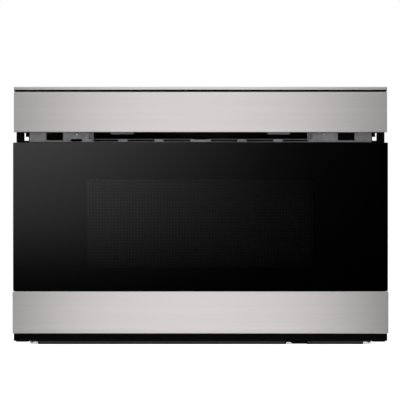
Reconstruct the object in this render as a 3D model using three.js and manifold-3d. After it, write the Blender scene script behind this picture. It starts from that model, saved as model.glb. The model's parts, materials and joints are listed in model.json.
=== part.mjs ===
// Built-in microwave drawer with a hidden tip-out control panel.
// Millimetres, +Z up, X to the right, the front faces -Y. Inside the model group y is the depth behind the
// front face, and the group is then centred front to back.
import * as THREE from 'three';
import { mergeVertices } from 'three/addons/utils/BufferGeometryUtils.js';
import Module from 'manifold-3d';

const wasm = await Module();
wasm.setup();

// Overall sizes
const DEPTH = 590;
const PANEL_WIDTH = 606.4;
const GLASS_WIDTH = 609;
const BAND_PROUD = 1.1;
const BASE_WIDTH = 607.2;
const FLANGE_WIDTH = 600;
const BODY_WIDTH = 556;
const BODY_TOP = 372;
const FACE_DEPTH = 42;

// Heights of the front, from the floor up
const BASE_HEIGHT = 17.2;
const BAND_HEIGHT = 68.6;
const GLASS_HEIGHT = 241.8;
const VENT_HEIGHT = 16.6;
const PANEL_HEIGHT = 66.3;
const LINE_HEIGHT = 3.2;
const TRIM_HEIGHT = 4.5;

// Sheet and clearances
const SHEET = 1.2;
const FACE_SHEET = 1.5;
const SEAT = 0.3;
const PLAY = 0.8;

// Cabinet
const SKID_HEIGHT = 3;
const SKID_WIDTH = 30;
const SKID_X = 165;
const RIB_HEIGHT = 3;
const RIB_WIDTH = 26;
const RIB_X = 140;
const SIDE_LIP = 16;
const TRAY_UPTURN = 14;
const SIDE_FOOT = 5;
const LOUVRE_LENGTH = 60;
const LOUVRE_HEIGHT = 5;
const LOUVRE_PITCH = 14;
const LOUVRE_BACK = 70;
const LOUVRE_LOW = 120;
const LOUVRE_HIGH = 300;
const REAR_LOUVRE_X = 190;
const REAR_LOUVRE_Z = 90;
const BASE_VENT_X = 80;
const BASE_VENT_BACK = 186;
const FLANGE_BOTTOM = 4;
const GLAND_X = -210;
const GLAND_Z = 330;
const GLAND_RADIUS = 11;

// Vent gap under the control band
const VENT_SETBACK = 20;
const RECESS_HALF = 182;
const VENT_SLOT_LENGTH = 43.4;
const VENT_SLOT_PITCH = 58.5;
const VENT_GROUP_X = 96.8;
const VENT_SLOT_HEIGHT = 3.2;
const VENT_LIP_HEIGHT = 5;
const END_SLOT_X = -202;
const END_SLOT_WIDTH = 20;
const END_SLOT_HEIGHT = 4;
const BLOCK_HALF = 223.6;
const SQUARE_HALF = 251;
const SQUARE_HEIGHT = 13;
const TAB_X = 127.5;
const TAB_WIDTH = 37;
const TAB_HEIGHT = 3;
const LAP_HEIGHT = 4;

// Base trim
const TRIM_SETBACK = 8;
const SKIRT_INSET = 39.1;
const TRIM_TAB_INSET = 3.6;
const TRIM_TAB_WIDTH = 21;
const SKIRT_RAISE = 5.2;

// Oven cavity
const CAVITY_WIDTH = 438;
const CAVITY_HEIGHT = 190;
const REAR_BAY = 127.7;
const CAVITY_FLOOR = 100;
const CAVITY_WALL = 1;
const CAVITY_CORNER = 5;
const CAVITY_FLANGE = 11;
const WELL_RADIUS = 91;
const WELL_DEPTH = 19;
const WELL_FLANGE = 8;
const COVER_THICKNESS = 3;

// Drawer front
const GLASS_THICKNESS = 5;
const DOOR_BACK = 35;
const DOOR_MARGIN = 4;
const DOOR_WALL = 1.5;
const WINDOW_WIDTH = 367;
const WINDOW_HEIGHT = 143;
const WINDOW_BOTTOM = 124;
const WINDOW_CORNER = 6;
const CHOKE_THICKNESS = 4.2;
const INNER_GLASS = 4;

// Drawer pan
const PAN_WIDTH = 424;
const PAN_GAP = 6;
const PAN_LIFT = 3;
const PAN_FRONT_HEIGHT = 132;
const PAN_REAR_HEIGHT = 104;
const PAN_WALL = 1.5;
const PAN_CORNER = 18;
const PAN_TAPER = 0.03;
const TRAY_THICKNESS = 4;

// Telescopic slides
const SLIDE_LENGTH = 440;
const SLIDE_Z = 163;
const SLIDE_HEIGHT = 46;
const SLIDE_DEPTH = 12;
const SLIDE_BALL = 3.3;

// Rack and pinion of the drawer
const DRIVE_MODULE = 2;
const DRIVE_TEETH = 14;
const RACK_X = -120;
const RACK_WIDTH = 10;
const RACK_HEIGHT = 12;
const RACK_LENGTH = 435;
const RACK_PITCH_Z = 68;
const PINION_DEPTH = 75;
const GEARBOX_LENGTH = 38;
const DRIVE_MOTOR_RADIUS = 19;
const DRIVE_MOTOR_LENGTH = 58;

// Control unit
const PIVOT = 6;
const PANEL_LIP = 6;
const TOUCH_THICKNESS = 3;
const TOUCH_BACK = 36;
const TOUCH_SLOPE = Math.PI / 6;
const HINGE_ROOM = 8;
const HOUSING_WALL = 2;
const HINGE_THICKNESS = 2;
const HINGE_PIN_RADIUS = 2;
const SHELL_BACK = 38.3;
const BRACKET_INSET = 37.2;
const SECTOR_TEETH = 48;
const TILT_TEETH = 16;
const TILT_MODULE = 1;
const TILT_ANGLE = 75 * Math.PI / 180;
const TILT_MESH_ANGLE = 70 * Math.PI / 180;
const TILT_GEAR_WIDTH = 4.6;
const TILT_MOTOR_RADIUS = 10;
const TILT_MOTOR_LENGTH = 22;
const LENS_X = -23.5;
const LENS_RADIUS = 1;

// Microwave source and cooling
const GUIDE_WIDTH = 80;
const GUIDE_HEIGHT = 35;
const GUIDE_FRONT = 198;
const GUIDE_GAP = 22.5;
const MAGNETRON_GAP = 28.5;
const MAGNETRON_WIDTH = 90;
const MAGNETRON_LENGTH = 80;
const MAGNETRON_FINS = 7;
const FIN_PITCH = 7;
const FIN_LIFT = 14;
const ANTENNA_REACH = 20;
const FILTER_BOX = 26;
const STIRRER_MOTOR_RADIUS = 25;
const STIRRER_MOTOR_HEIGHT = 22;
const STIRRER_RADIUS = 76;
const STIRRER_SHAFT_RADIUS = 4;
const CORE_WIDTH = 100;
const CORE_HEIGHT = 84;
const CORE_DEPTH = 60;
const CORE_X = -190;
const CORE_GAP = 33.5;
const CAN_WIDTH = 54;
const CAN_DEPTH = 32;
const CAN_HEIGHT = 100;
const CAN_X = 190;
const FAN_Z = 268;
const FAN_RADIUS = 55;
const FAN_DEPTH = 20;
const FAN_BLADES = 7;
const FAN_MOTOR_RADIUS = 22;
const FAN_MOTOR_LENGTH = 30;
const DUCT_HALF = 178;
const DUCT_HEIGHT = 40;
const LAMP_Y = 300;
const LAMP_Z = 262;
const LAMP_FLANGE = 24;
const LAMP_LENGTH = 32;
const SWITCH_Z = 268;
const SWITCH_LENGTH = 66;
const SWITCH_WIDTH = 26;
const SWITCH_DROP = 26;
const SWITCH_RISE = 22;
const FILTER_LENGTH = 70;
const FILTER_HEIGHT = 80;
const FILTER_SPACER = 10;
const FILTER_GAP = 20;
const HOOK_LENGTH = 40;

// Levels and planes that follow from the sizes above
const bandZ = BASE_HEIGHT;
const glassZ = bandZ + BAND_HEIGHT;
const ventZ = glassZ + GLASS_HEIGHT;
const ventSill = ventZ + PLAY + SHEET / 2;
const panelZ = ventZ + VENT_HEIGHT;
const lineZ = panelZ + PANEL_HEIGHT;
const trimZ = lineZ + LINE_HEIGHT;
const topZ = trimZ + TRIM_HEIGHT;
const bodyHalf = BODY_WIDTH / 2;
const sideInner = bodyHalf - SHEET;
const behindFace = FACE_DEPTH + SEAT;
const backInner = DEPTH - SHEET - SEAT;
const floorZ = SKID_HEIGHT + SHEET;
const coverZ = BODY_TOP - SHEET - RIB_HEIGHT;
const cavityHalf = CAVITY_WIDTH / 2;
const cavityTop = CAVITY_FLOOR + CAVITY_HEIGHT;
const cavityBack = DEPTH - REAR_BAY;
const cavityDepth = cavityBack - behindFace;
const flangeHalf = cavityHalf + CAVITY_WALL + CAVITY_FLANGE;
const stirrerY = behindFace + cavityDepth / 2;
const wellBottom = CAVITY_FLOOR - CAVITY_WALL - WELL_DEPTH;
const guideTop = wellBottom - SEAT;
const guideBottom = guideTop - GUIDE_HEIGHT;
const guideBack = backInner - GUIDE_GAP;
const magnetronY = backInner - MAGNETRON_GAP - MAGNETRON_LENGTH / 2;
const coreY = backInner - CORE_GAP - CORE_DEPTH / 2;
const doorFront = GLASS_THICKNESS + PLAY + SEAT;
const doorHalf = GLASS_WIDTH / 2 - DOOR_MARGIN;
const doorBottom = bandZ + SEAT + DOOR_MARGIN / 2;
const doorTop = ventZ - DOOR_MARGIN / 2;
const behindDoor = DOOR_BACK + SEAT;
const windowHalf = WINDOW_WIDTH / 2;
const windowTop = WINDOW_BOTTOM + WINDOW_HEIGHT;
const panBottom = CAVITY_FLOOR + PAN_LIFT;
const panDepth = cavityDepth - PAN_GAP;
const slideOuter = sideInner - SEAT;
const pivotZ = panelZ + PIVOT;
const bracketX = PANEL_WIDTH / 2 - BRACKET_INSET;
const housingHalf = bracketX - HINGE_ROOM;
const skirtHalf = BASE_WIDTH / 2 - SKIRT_INSET;

const paint = (name, color, roughness, metalness) => {
  const material = new THREE.MeshStandardMaterial({ color, roughness, metalness });
  material.name = name;
  return material;
};
const brushedSteel = paint('brushed_steel', 0xcac6c1, 0.34, 1);
const galvanised = paint('galvanised_steel', 0x9a9c9c, 0.5, 0.9);
const blackPaint = paint('black_painted_steel', 0x0c0c0e, 0.45, 0.1);
const blackGlass = paint('black_glass', 0x050507, 0.06, 0);
const clearGlass = paint('clear_glass', 0x9fb0ad, 0.08, 0);
const enamel = paint('oven_enamel', 0xb9bab6, 0.35, 0);
const panPlastic = paint('pan_polymer', 0xd4d3cd, 0.5, 0);
const ceramic = paint('ceramic_glass', 0xe6e4dc, 0.3, 0);
const blackPlastic = paint('black_plastic', 0x141416, 0.55, 0);
const whitePlastic = paint('white_plastic', 0xe2e0d8, 0.5, 0);
const acetal = paint('gear_acetal', 0xeeece2, 0.4, 0);
const zincSteel = paint('zinc_steel', 0xb4b8bb, 0.35, 1);
const aluminium = paint('aluminium', 0xc3c6c8, 0.4, 1);
const laminations = paint('core_laminations', 0x4a4640, 0.6, 0.7);
const copper = paint('copper_winding', 0xa5552b, 0.4, 0.8);
const circuitBoard = paint('circuit_board', 0x2b5a34, 0.5, 0);
const lensPlastic = paint('lens_plastic', 0x2a2fd0, 0.3, 0);

const model = new THREE.Group();
model.position.y = -DEPTH / 2;

function add(name, geometry, material) {
  const mesh = new THREE.Mesh(geometry, material);
  mesh.name = name;
  model.add(mesh);
}

function addPair(name, geometry, material) {
  add(`${name}_right`, geometry, material);
  add(`${name}_left`, mirrored(geometry), material);
}

// Solids: merged position-only geometry, joined and cut as closed meshes.
function bare(geometry) {
  const copy = geometry.clone();
  copy.deleteAttribute('normal');
  copy.deleteAttribute('uv');
  return mergeVertices(copy, 1e-4);
}

function toSolid(geometry) {
  const merged = bare(geometry);
  const vertProperties = new Float32Array(merged.attributes.position.array);
  const triVerts = new Uint32Array(merged.index.array);
  return new wasm.Manifold(new wasm.Mesh({ numProp: 3, vertProperties, triVerts }));
}

function fromSolid(solid) {
  const mesh = solid.getMesh();
  const geometry = new THREE.BufferGeometry();
  geometry.setAttribute('position', new THREE.Float32BufferAttribute(mesh.vertProperties, 3));
  geometry.setIndex(Array.from(mesh.triVerts));
  return geometry;
}

function join(first, ...rest) {
  return fromSolid(rest.reduce((sum, geometry) => sum.add(toSolid(geometry)), toSolid(first)));
}

function cut(first, ...rest) {
  return fromSolid(rest.reduce((sum, geometry) => sum.subtract(toSolid(geometry)), toSolid(first)));
}

function common(first, second) {
  return fromSolid(toSolid(first).intersect(toSolid(second)));
}

function mirrored(geometry) {
  const copy = bare(geometry);
  copy.scale(-1, 1, 1);
  const index = copy.index.array;
  for (let i = 0; i < index.length; i += 3) {
    const second = index[i + 1];
    index[i + 1] = index[i + 2];
    index[i + 2] = second;
  }
  return copy;
}

// Outlines
function rect(x0, y0, x1, y1, radius = 0) {
  if (radius <= 0) {
    return polygon([[x0, y0], [x1, y0], [x1, y1], [x0, y1]]);
  }
  const steps = radius < 3 ? 1 : 3;
  const points = [];
  [[x1, y0, -1, 1], [x1, y1, -1, -1], [x0, y1, 1, -1], [x0, y0, 1, 1]].forEach(([x, y, inX, inY], corner) => {
    for (let i = 0; i <= steps; i += 1) {
      const angle = ((corner - 1) * Math.PI) / 2 + (i * Math.PI) / (2 * steps);
      points.push([x + radius * (inX + Math.cos(angle)), y + radius * (inY + Math.sin(angle))]);
    }
  });
  return polygon(points);
}

function disc(x, y, radius, sides = 16) {
  const points = [];
  for (let i = 0; i < sides; i += 1) {
    const angle = (i * 2 * Math.PI) / sides;
    points.push(new THREE.Vector2(x + radius * Math.cos(angle), y + radius * Math.sin(angle)));
  }
  return new THREE.Shape(points);
}

function polygon(points) {
  return new THREE.Shape(points.map(([x, y]) => new THREE.Vector2(x, y)));
}

function pierced(shape, ...holes) {
  holes.forEach((hole) => shape.holes.push(hole));
  return shape;
}

// Section of a folded sheet: its outer face follows the points, its thickness lies to their left.
function folded(points, thickness) {
  const inner = points.map((point, i) => {
    const before = i > 0 ? leftNormal(points[i - 1], point) : leftNormal(point, points[i + 1]);
    const after = i < points.length - 1 ? leftNormal(point, points[i + 1]) : before;
    const scale = thickness / (1 + before[0] * after[0] + before[1] * after[1]);
    return [point[0] + (before[0] + after[0]) * scale, point[1] + (before[1] + after[1]) * scale];
  });
  return polygon([...points, ...inner.reverse()]);
}

function leftNormal(from, to) {
  const dx = to[0] - from[0];
  const dy = to[1] - from[1];
  const length = Math.hypot(dx, dy);
  return [-dy / length, dx / length];
}

// Outline of a straight-cut gear with involute flanks.
function gear(teeth, module, turn, from = 0, to = teeth) {
  const pitch = (teeth * module) / 2;
  const base = pitch * Math.cos(Math.PI / 9);
  const root = pitch - 1.2 * module;
  const tip = pitch + 0.9 * module;
  const inv = (radius) => Math.tan(Math.acos(base / radius)) - Math.acos(base / radius);
  const half = (Math.PI / 2 - 0.1) / teeth + inv(pitch);
  const start = Math.max(base * 1.002, root + 0.05 * module);
  const points = [];
  for (let tooth = from; tooth < to; tooth += 1) {
    const middle = turn + (tooth * 2 * Math.PI) / teeth;
    const flank = [[root, middle - half - inv(start)]];
    [start, tip].forEach((radius) => flank.push([radius, middle - half + inv(radius)]));
    flank[0][1] = flank[1][1];
    points.push(...flank);
    points.push(...flank.map(([radius, angle]) => [radius, 2 * middle - angle]).reverse());
  }
  return points.map(([radius, angle]) => [radius * Math.cos(angle), radius * Math.sin(angle)]);
}

// Prisms along each axis: an outline in (y, z), (x, z) or (x, y) is drawn out along the third one, and its
// holes are cut through.
function prism(shape, length) {
  const drawn = (outline, depth) => new THREE.ExtrudeGeometry(new THREE.Shape(outline.getPoints(3)), {
    depth,
    bevelEnabled: false,
  });
  const body = drawn(shape, length);
  if (shape.holes.length === 0) {
    return body;
  }
  return cut(body, ...shape.holes.map((hole) => drawn(hole, length + 2).translate(0, 0, -1)));
}

function alongX(shape, x0, x1) {
  const basis = new THREE.Matrix4().makeBasis(
    new THREE.Vector3(0, 1, 0),
    new THREE.Vector3(0, 0, 1),
    new THREE.Vector3(1, 0, 0),
  );
  return prism(shape, x1 - x0).applyMatrix4(basis).translate(x0, 0, 0);
}

function alongY(shape, y0, y1) {
  return prism(shape, y1 - y0).rotateX(Math.PI / 2).translate(0, y1, 0);
}

function alongZ(shape, z0, z1) {
  return prism(shape, z1 - z0).translate(0, 0, z0);
}

// Round pieces: a closed profile of [radius, height] turned about +Z.
function turned(profile, sides) {
  const points = [...profile, profile[0]].map(([radius, height]) => new THREE.Vector2(radius, height));
  return new THREE.LatheGeometry(points, sides).rotateX(Math.PI / 2);
}

function block(x0, x1, y0, y1, z0, z1) {
  return alongZ(rect(x0, y0, x1, y1), z0, z1);
}

// Copies of a cutter at equal steps.
function repeated(count, step, make) {
  const copies = [];
  for (let i = 0; i < count; i += 1) {
    copies.push(make((i - (count - 1) / 2) * step));
  }
  return copies;
}

// Rows of louvre slots in a wall.
function louvres(count, y, z) {
  return repeated(count, LOUVRE_PITCH, (offset) => rect(
    y - LOUVRE_LENGTH / 2,
    z + offset - LOUVRE_HEIGHT / 2,
    y + LOUVRE_LENGTH / 2,
    z + offset + LOUVRE_HEIGHT / 2,
    LOUVRE_HEIGHT / 2.05,
  ));
}

// ---- Cabinet ----

function basePlate() {
  const half = sideInner - SEAT;
  const step = 4;
  const path = [[-half, floorZ + TRAY_UPTURN], [-half, SKID_HEIGHT]];
  [-SKID_X, SKID_X].forEach((x) => {
    path.push([x - SKID_WIDTH / 2 - step, SKID_HEIGHT]);
    path.push([x - SKID_WIDTH / 2, 0]);
    path.push([x + SKID_WIDTH / 2, 0]);
    path.push([x + SKID_WIDTH / 2 + step, SKID_HEIGHT]);
  });
  path.push([half, SKID_HEIGHT], [half, floorZ + TRAY_UPTURN]);
  const tray = alongY(folded(path, SHEET), behindFace, backInner);
  const vents = repeated(6, LOUVRE_PITCH, (offset) => alongZ(rect(
    BASE_VENT_X - LOUVRE_LENGTH / 2,
    backInner - BASE_VENT_BACK + offset - LOUVRE_HEIGHT / 2,
    BASE_VENT_X + LOUVRE_LENGTH / 2,
    backInner - BASE_VENT_BACK + offset + LOUVRE_HEIGHT / 2,
    LOUVRE_HEIGHT / 2.05,
  ), 0, floorZ + SHEET));
  return cut(tray, ...vents);
}

function sidePanel() {
  const foot = SKID_HEIGHT - SEAT - SHEET;
  const path = [
    [bodyHalf - SIDE_FOOT, foot],
    [bodyHalf, foot],
    [bodyHalf, coverZ - SEAT],
    [bodyHalf - SIDE_LIP, coverZ - SEAT],
  ];
  const sheet = alongY(folded(path, SHEET), behindFace, backInner);
  const rear = louvres(6, backInner - LOUVRE_BACK, LOUVRE_LOW);
  const upper = louvres(4, backInner - LOUVRE_BACK, LOUVRE_HIGH);
  const cutters = [...rear, ...upper].map((slot) => alongX(slot, bodyHalf - 2 * SHEET, bodyHalf + SHEET));
  return cut(sheet, ...cutters);
}

function topCover() {
  const half = bodyHalf - SEAT;
  const step = 4;
  const path = [[-half, coverZ]];
  [-RIB_X, RIB_X].forEach((x) => {
    path.push([x - RIB_WIDTH / 2 - step, coverZ]);
    path.push([x - RIB_WIDTH / 2, coverZ + RIB_HEIGHT]);
    path.push([x + RIB_WIDTH / 2, coverZ + RIB_HEIGHT]);
    path.push([x + RIB_WIDTH / 2 + step, coverZ]);
  });
  path.push([half, coverZ]);
  return alongY(folded(path, SHEET), behindFace, backInner);
}

// Segments of two slotted rings in front of the fan, as on a stamped finger guard.
function fanGuardSlots() {
  const slots = [];
  const ribs = 6;
  const arc = (radius, from, to) => [0, 1, 2, 3, 4].map((step) => {
    const angle = from + ((to - from) * step) / 4;
    return [radius * Math.cos(angle), FAN_Z + radius * Math.sin(angle)];
  });
  [0.42, 0.72].forEach((share) => {
    const inner = FAN_RADIUS * share;
    const outer = FAN_RADIUS * (share + 0.2);
    for (let i = 0; i < ribs; i += 1) {
      const from = (i * 2 * Math.PI) / ribs + 0.12;
      const to = ((i + 1) * 2 * Math.PI) / ribs - 0.12;
      slots.push(polygon([...arc(outer, from, to), ...arc(inner, to, from)]));
    }
  });
  return slots;
}

function rearPanel() {
  const half = bodyHalf - SEAT;
  const outline = rect(-half, SKID_HEIGHT, half, BODY_TOP, 2);
  const holes = [
    ...fanGuardSlots(),
    ...louvres(6, REAR_LOUVRE_X, REAR_LOUVRE_Z),
    ...louvres(6, -REAR_LOUVRE_X, REAR_LOUVRE_Z),
    disc(GLAND_X, GLAND_Z, GLAND_RADIUS),
  ];
  return alongY(pierced(outline, ...holes), DEPTH - SHEET, DEPTH);
}

function cordGland() {
  const bore = GLAND_RADIUS * 0.4;
  const neck = GLAND_RADIUS - SEAT;
  const collar = GLAND_RADIUS + 4;
  const inside = DEPTH - SHEET - SEAT;
  const profile = [
    [bore, inside - 8],
    [neck, inside - 8],
    [collar, inside - 5],
    [collar, inside],
    [neck, inside],
    [neck, DEPTH - SEAT],
    [bore, DEPTH - SEAT],
  ];
  return turned(profile, 16).rotateX(-Math.PI / 2).translate(GLAND_X, 0, GLAND_Z);
}

// ---- Front plate, mounting flanges and vent gap ----

// Mouth of the vent duct, with two tabs hanging from its upper edge.
function ventWindow() {
  const half = DUCT_HALF - 4;
  const top = panelZ + PLAY;
  const tab = (side) => [
    [side * (TAB_X + side * TAB_WIDTH / 2), top],
    [side * (TAB_X + side * TAB_WIDTH / 2), panelZ - TAB_HEIGHT],
    [side * (TAB_X - side * TAB_WIDTH / 2), panelZ - TAB_HEIGHT],
    [side * (TAB_X - side * TAB_WIDTH / 2), top],
  ];
  return polygon([[-half, ventSill], [half, ventSill], [half, top], ...tab(1), ...tab(-1), [-half, top]]);
}

function frontPlate() {
  const half = bodyHalf - SEAT;
  const outline = rect(-half, SKID_HEIGHT, half, BODY_TOP);
  const holes = [rect(-cavityHalf, CAVITY_FLOOR, cavityHalf, cavityTop, CAVITY_CORNER)];
  [-1, 1].forEach((side) => {
    const slideEdge = slideOuter - SHEET;
    const between = [side * (slideEdge - 2 * SLIDE_DEPTH), side * slideEdge].sort((a, b) => a - b);
    const reach = SLIDE_HEIGHT / 2 + PLAY;
    holes.push(rect(between[0], SLIDE_Z - reach, between[1], SLIDE_Z + reach));
    const latch = [side * (flangeHalf + 4), side * (flangeHalf + 19)].sort((a, b) => a - b);
    holes.push(rect(latch[0], SWITCH_Z - 14, latch[1], SWITCH_Z + 14));
    const square = [side * BLOCK_HALF, side * SQUARE_HALF].sort((a, b) => a - b);
    holes.push(rect(square[0], panelZ - SQUARE_HEIGHT, square[1], panelZ));
  });
  holes.push(ventWindow());
  holes.push(rect(
    END_SLOT_X - END_SLOT_WIDTH / 2 - PLAY,
    ventSill,
    END_SLOT_X + END_SLOT_WIDTH / 2 + PLAY,
    ventSill + END_SLOT_HEIGHT + 2 * PLAY,
  ));
  const rackHalf = RACK_WIDTH / 2 + PLAY;
  holes.push(rect(
    RACK_X - rackHalf,
    RACK_PITCH_Z - 1.5 * DRIVE_MODULE,
    RACK_X + rackHalf,
    RACK_PITCH_Z + 1.5 * DRIVE_MODULE + RACK_HEIGHT + PLAY,
  ));
  return alongY(pierced(outline, ...holes), FACE_DEPTH - FACE_SHEET, FACE_DEPTH);
}

// Black flange beside the front plate, with its mounting holes, the stepped slit beside the vent and a
// joggled tab that laps over the front plate.
function mountFlange() {
  const inner = bodyHalf + SEAT;
  const outer = FLANGE_WIDTH / 2;
  const front = FACE_DEPTH - FACE_SHEET;
  const slit = polygon([
    [inner + 1.7, ventZ + 3.4],
    [inner + 8.7, ventZ + 3.4],
    [inner + 8.7, ventZ + 15.9],
    [inner + 6.7, ventZ + 15.9],
    [inner + 6.7, ventZ + 9.4],
    [inner + 1.7, ventZ + 9.4],
  ]);
  const screws = repeated(4, 78, (offset) => disc((inner + outer) / 2, ventZ / 2 + offset, 2.6, 8));
  const web = pierced(rect(inner, FLANGE_BOTTOM, outer, lineZ), slit, ...screws);
  const tabFront = front - SEAT - SHEET;
  const lap = rect(inner - 4, panelZ - LAP_HEIGHT, inner + 2, panelZ + SEAT);
  const joggle = rect(inner, panelZ - LAP_HEIGHT, inner + 2, panelZ + SEAT);
  return join(
    alongY(web, front, FACE_DEPTH),
    alongY(rect(outer - SHEET, bandZ, outer, panelZ), DOOR_BACK + PLAY, FACE_DEPTH),
    alongY(lap, tabFront, front - SEAT),
    alongY(joggle, tabFront, FACE_DEPTH),
  );
}

// Stamped sheet seen in the gap: a slotted lip in the middle, a plain block, a square hole at each side.
function ventGrille() {
  const bottom = ventZ + PLAY;
  const top = panelZ + PLAY;
  const lip = ventZ + VENT_LIP_HEIGHT + PLAY;
  const half = bodyHalf;
  const notch = 11.5;
  const outline = polygon([
    [-half, bottom],
    [half, bottom],
    [half, top],
    [RECESS_HALF, top],
    [RECESS_HALF, lip],
    [notch, lip],
    [notch - 1, lip - 1],
    [1 - notch, lip - 1],
    [-notch, lip],
    [-RECESS_HALF, lip],
    [-RECESS_HALF, top],
    [-half, top],
  ]);
  const slots = [];
  [-1, 1].forEach((side) => {
    repeated(3, VENT_SLOT_PITCH, (offset) => {
      const x = side * VENT_GROUP_X + offset;
      const z = bottom + 1;
      slots.push(rect(x - VENT_SLOT_LENGTH / 2, z, x + VENT_SLOT_LENGTH / 2, z + VENT_SLOT_HEIGHT));
    });
    const square = [side * BLOCK_HALF, side * SQUARE_HALF].sort((a, b) => a - b);
    slots.push(rect(square[0], panelZ - SQUARE_HEIGHT, square[1], top - SHEET));
  });
  slots.push(rect(
    END_SLOT_X - END_SLOT_WIDTH / 2,
    bottom + 1,
    END_SLOT_X + END_SLOT_WIDTH / 2,
    bottom + 1 + END_SLOT_HEIGHT,
    END_SLOT_HEIGHT / 2.1,
  ));
  const shelf = block(-half, half, VENT_SETBACK, FACE_DEPTH - FACE_SHEET - SEAT, bottom, bottom + SHEET / 2);
  const cheeks = [-half, half - SHEET].map((x) => block(
    x,
    x + SHEET,
    VENT_SETBACK,
    FACE_DEPTH - FACE_SHEET - SEAT - SHEET,
    bottom,
    top - LAP_HEIGHT - PLAY,
  ));
  return join(
    alongY(pierced(outline, ...slots), VENT_SETBACK, VENT_SETBACK + SHEET),
    shelf,
    ...cheeks,
  );
}

function baseTrim() {
  const top = bandZ - 2 * SEAT;
  const back = FACE_DEPTH - FACE_SHEET - SEAT;
  const front = TRIM_SETBACK;
  const path = [
    [back, top],
    [front, top],
    [front, top - 2.2],
    [front + 0.6, top - 2.8],
    [front + 0.6, top - 6],
    [front, top - 6.6],
    [front, SKIRT_RAISE],
    [front + 7, SKIRT_RAISE],
  ];
  const face = alongX(folded(path, SHEET), -BASE_WIDTH / 2, BASE_WIDTH / 2);
  const skirt = polygon([
    [-skirtHalf, 0],
    [138.5, 0],
    [140.5, 3.3],
    [171, 3.3],
    [173, 0],
    [skirtHalf, 0],
    [skirtHalf, SKIRT_RAISE + SHEET],
    [-skirtHalf, SKIRT_RAISE + SHEET],
  ]);
  const tabEnd = BASE_WIDTH / 2 - TRIM_TAB_INSET;
  const ends = [-tabEnd, tabEnd - TRIM_TAB_WIDTH].map((x) => block(
    x,
    x + TRIM_TAB_WIDTH,
    front + 3,
    front + 3 + SHEET,
    SKIRT_RAISE - FACE_SHEET,
    SKIRT_RAISE + SHEET,
  ));
  return join(face, alongY(skirt, front + 3, front + 3 + SHEET), ...ends);
}

// ---- Oven cavity ----

function ovenCavity() {
  const outer = cavityHalf + CAVITY_WALL;
  const low = CAVITY_FLOOR - CAVITY_WALL;
  const high = cavityTop + CAVITY_WALL;
  const mouth = () => rect(-cavityHalf, CAVITY_FLOOR, cavityHalf, cavityTop, CAVITY_CORNER);
  const skin = () => rect(-outer, low, outer, high, CAVITY_CORNER + CAVITY_WALL);
  const liner = alongY(pierced(skin(), mouth()), behindFace, cavityBack);
  const back = alongY(skin(), cavityBack - CAVITY_WALL / 2, cavityBack + CAVITY_WALL);
  const flange = alongY(
    pierced(rect(-flangeHalf, low - CAVITY_FLANGE, flangeHalf, high + CAVITY_FLANGE), mouth()),
    behindFace,
    behindFace + SHEET,
  );
  const opening = turned([
    [0, low - 1],
    [WELL_RADIUS, low - 1],
    [WELL_RADIUS, CAVITY_FLOOR + 1],
    [0, CAVITY_FLOOR + 1],
  ], 24).translate(0, stirrerY, 0);
  const beads = [-1, 1].flatMap((side) => [0.35, 0.65].map((share) => {
    const z = CAVITY_FLOOR + CAVITY_HEIGHT * share;
    const x = side * outer;
    return alongY(polygon([
      [x - side * 0.5, z - side * 5],
      [x + side * 3, z - side * 3],
      [x + side * 3, z + side * 3],
      [x - side * 0.5, z + side * 5],
    ]), behindFace + 60, cavityBack - 30);
  }));
  const intake = repeated(4, 12, (offset) => alongX(
    rect(LAMP_Y - 20, LAMP_Z + offset - 2, LAMP_Y + 20, LAMP_Z + offset + 2),
    -outer - 1,
    -outer + 2 * CAVITY_WALL,
  ));
  const lampHole = alongX(disc(LAMP_Y, LAMP_Z, 11, 12), outer - 2 * CAVITY_WALL, outer + 1);
  return cut(join(liner, back, flange, ...beads), opening, lampHole, ...intake);
}

// Pressed cup under the cavity floor, with a welding flange and a ledge that carries the cover.
function antennaWell() {
  const wall = WELL_RADIUS + CAVITY_WALL;
  const rim = CAVITY_FLOOR - CAVITY_WALL - SEAT;
  const ledge = CAVITY_FLOOR - SEAT - COVER_THICKNESS - SEAT;
  return turned([
    [STIRRER_SHAFT_RADIUS * 3, wellBottom],
    [wall, wellBottom],
    [wall, rim - CAVITY_WALL],
    [wall + WELL_FLANGE, rim - CAVITY_WALL],
    [wall + WELL_FLANGE, rim],
    [WELL_RADIUS, rim],
    [WELL_RADIUS, ledge],
    [WELL_RADIUS - 6, ledge],
    [WELL_RADIUS - 6, ledge - CAVITY_WALL],
    [WELL_RADIUS, ledge - CAVITY_WALL],
    [WELL_RADIUS, wellBottom + CAVITY_WALL],
    [STIRRER_SHAFT_RADIUS * 3, wellBottom + CAVITY_WALL],
  ], 24).translate(0, stirrerY, 0);
}

function stirrerCover() {
  const radius = WELL_RADIUS - SEAT;
  const top = CAVITY_FLOOR - SEAT;
  return turned([
    [0, top - COVER_THICKNESS],
    [radius, top - COVER_THICKNESS],
    [radius, top - 0.8],
    [radius - 0.8, top],
    [0, top],
  ], 24).translate(0, stirrerY, 0);
}

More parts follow.
